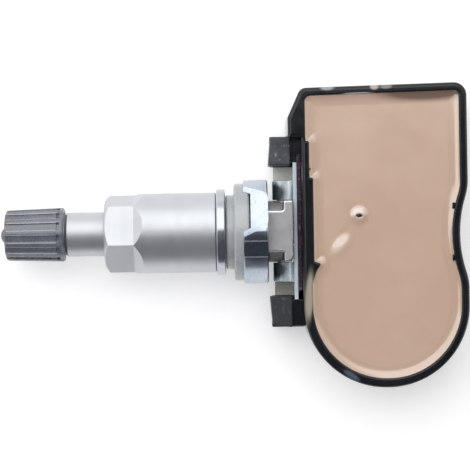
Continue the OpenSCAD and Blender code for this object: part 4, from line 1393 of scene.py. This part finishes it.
@dataclass
class Studio:
    """A white floor and room, a softbox, a weaker lamp, a grey flag and the camera straight above."""

    floor_z: float = -0.00925
    floor_half: float = 1.2
    camera_at: tuple[float, float, float] = (0.00017, -0.00053, 0.340)
    camera_turn: float = -0.95
    field_of_view: float = 13.80
    sensor_width: float = 36.0
    key_angle: float = 35.0
    key_turn: float = 32.0
    key_distance: float = 0.6
    key_size: Point = (0.85, 0.70)
    key_power: float = 3.75
    top_distance: float = 0.8
    top_size: Point = (0.7, 0.7)
    top_power: float = 2.0
    fill: float = 0.5
    floor_glow: float = 0.4

    def build(self) -> None:
        """Set up the floor, the lights, the flag and the camera."""
        self.world()
        self.floor()
        self.softbox()
        self.top_light()
        self.flag()
        self.camera()

    def seen_share(self, tree: Tree) -> Socket:
        """Give 1 for rays from the camera, from gloss and through glass, and 0 for the rest.

        Args:
            tree: Node tree that takes the nodes.

        Returns:
            The share.
        """
        path = add_node(tree, "ShaderNodeLightPath")
        gloss = add_node(tree, "ShaderNodeMath",
                         {0: path.outputs["Is Glossy Ray"], 1: path.outputs["Is Transmission Ray"]},
                         operation="MAXIMUM")
        return add_node(tree, "ShaderNodeMath", {0: path.outputs["Is Camera Ray"], 1: gloss.outputs[0]},
                        operation="MAXIMUM").outputs[0]

    def world(self) -> None:
        """Make the surroundings white, and a little dimmer as a light."""
        world = bpy.data.worlds.new("white_room")
        bpy.context.scene.world = world
        tree = fresh_tree(world)
        strength = add_node(tree, "ShaderNodeMapRange",
                            {"Value": self.seen_share(tree), "To Min": self.fill, "To Max": 1.0})
        light = add_node(tree, "ShaderNodeBackground", {"Color": linear("#FFFFFF"),
                                                        "Strength": strength.outputs["Result"]})
        add_node(tree, "ShaderNodeOutputWorld", {"Surface": light.outputs["Background"]})

    def floor(self) -> None:
        """Lay a white paper floor that keeps the object's shadow."""
        paper = bpy.data.materials.new("paper_white")
        tree = fresh_tree(paper)
        matt = add_node(tree, "ShaderNodeBsdfDiffuse", {"Color": linear("#E6E6E6")})
        glow = add_node(tree, "ShaderNodeMath", {0: self.seen_share(tree), 1: self.floor_glow},
                        operation="MULTIPLY")
        lit = add_node(tree, "ShaderNodeEmission", {"Strength": glow.outputs[0]})
        both = add_node(tree, "ShaderNodeAddShader", {0: matt.outputs["BSDF"], 1: lit.outputs["Emission"]})
        add_node(tree, "ShaderNodeOutputMaterial", {"Surface": both.outputs["Shader"]})
        sheet = bmesh.new()
        bmesh.ops.create_grid(sheet, x_segments=4, y_segments=4, size=self.floor_half)
        bmesh.ops.translate(sheet, vec=(0, 0, self.floor_z), verts=sheet.verts)
        self.stage_piece("floor", sheet, paper)

    def hang_lamp(self, name: str, size: Point, power: float, place: Matrix) -> bpy.types.Object:
        """Hang a soft lamp that shines down its own -Z axis.

        Args:
            name: Name of the lamp.
            size: Its two sides in metres.
            power: Its power in watts.
            place: Where it hangs and how it is turned.

        Returns:
            The lamp.
        """
        lamp = bpy.data.lights.new(name, "AREA")
        lamp.shape = "RECTANGLE"
        lamp.size, lamp.size_y = size
        lamp.energy = power
        holder = linked(name, lamp)
        holder.matrix_world = place
        return holder

    def softbox(self) -> None:
        """Hang the softbox over the housing's straight end, with its closed black back."""
        gap = 0.01
        aim = (Matrix.Rotation(math.radians(self.key_turn), 4, "Z") @
               Matrix.Rotation(math.radians(-self.key_angle), 4, "X") @
               Matrix.Translation((0, 0, self.key_distance)))
        self.hang_lamp("softbox", self.key_size, self.key_power, aim)
        back = bmesh.new()
        bmesh.ops.create_grid(back, x_segments=1, y_segments=1, size=0.5)
        bmesh.ops.scale(back, vec=(*self.key_size, 1.0), verts=back.verts)
        bmesh.ops.transform(back, matrix=aim @ Matrix.Translation((0, 0, gap)), verts=back.verts)
        self.card("softbox_back", back, "#101010")

    def top_light(self) -> None:
        """Hang a weaker lamp overhead for even light, which shows in no reflection."""
        aim = Matrix.Translation((0, 0, self.top_distance))
        self.hang_lamp("top_light", self.top_size, self.top_power, aim).visible_glossy = False

    def card(self, name: str, solid: Solid, colour: str) -> None:
        """Turn a mesh into a matt card that the camera doesn't see and that casts no shadow.

        Args:
            name: Name of the card.
            solid: Its mesh in metres, which is freed.
            colour: Its colour.
        """
        material = bpy.data.materials.new(f"{name}_card")
        tree = fresh_tree(material)
        matt = add_node(tree, "ShaderNodeBsdfDiffuse", {"Color": linear(colour)})
        add_node(tree, "ShaderNodeOutputMaterial", {"Surface": matt.outputs["BSDF"]})
        piece = self.stage_piece(name, solid, material)
        piece.visible_camera = False
        piece.visible_shadow = False

    def flag(self) -> None:
        """Bend a grey card round the side away from the light, which only reflections show."""
        start, end, radius, half = -6.5, 88.0, 0.62, 0.9
        steps = 16
        card = bmesh.new()
        angle = math.radians(start)
        y, z = -radius * math.sin(angle), radius * math.cos(angle)
        ends = [card.verts.new((x, y, z)) for x in (-half, half)]
        edge = card.edges.new(ends)
        bmesh.ops.spin(card, geom=[*ends, edge], cent=(0, 0, 0), axis=(1, 0, 0),
                       angle=math.radians(end - start), steps=steps)
        self.card("flag", card, "#98999D")

    def stage_piece(self, name: str, solid: Solid, material: bpy.types.Material) -> bpy.types.Object:
        """Turn a mesh in metres into a piece of the studio.

        Args:
            name: Name of the piece.
            solid: Its mesh, which is freed.
            material: Its material.

        Returns:
            The piece.
        """
        mesh = mesh_of(name, solid)
        mesh.materials.append(material)
        piece = linked(name, mesh)
        return piece

    def camera(self) -> None:
        """Look straight down, as the photograph does."""
        lens = bpy.data.cameras.new("camera")
        lens.sensor_width = self.sensor_width
        lens.lens = self.sensor_width / 2 / math.tan(math.radians(self.field_of_view / 2))
        lens.clip_start = 0.01
        lens.clip_end = 10.0
        view = linked("camera", lens)
        view.location = self.camera_at
        view.rotation_euler = (0, 0, math.radians(self.camera_turn))
        bpy.context.scene.camera = view


def main() -> None:
    """Build the studio and every sub-assembly in order."""
    logging.basicConfig(level=logging.INFO, format="%(name)s: %(message)s")
    bpy.context.scene.view_settings.view_transform = "Standard"
    Studio().build()
    Valve().build()
    Fastening().build()
    Cap().build()
    Housing().build()


if __name__ == "__main__":
    main()
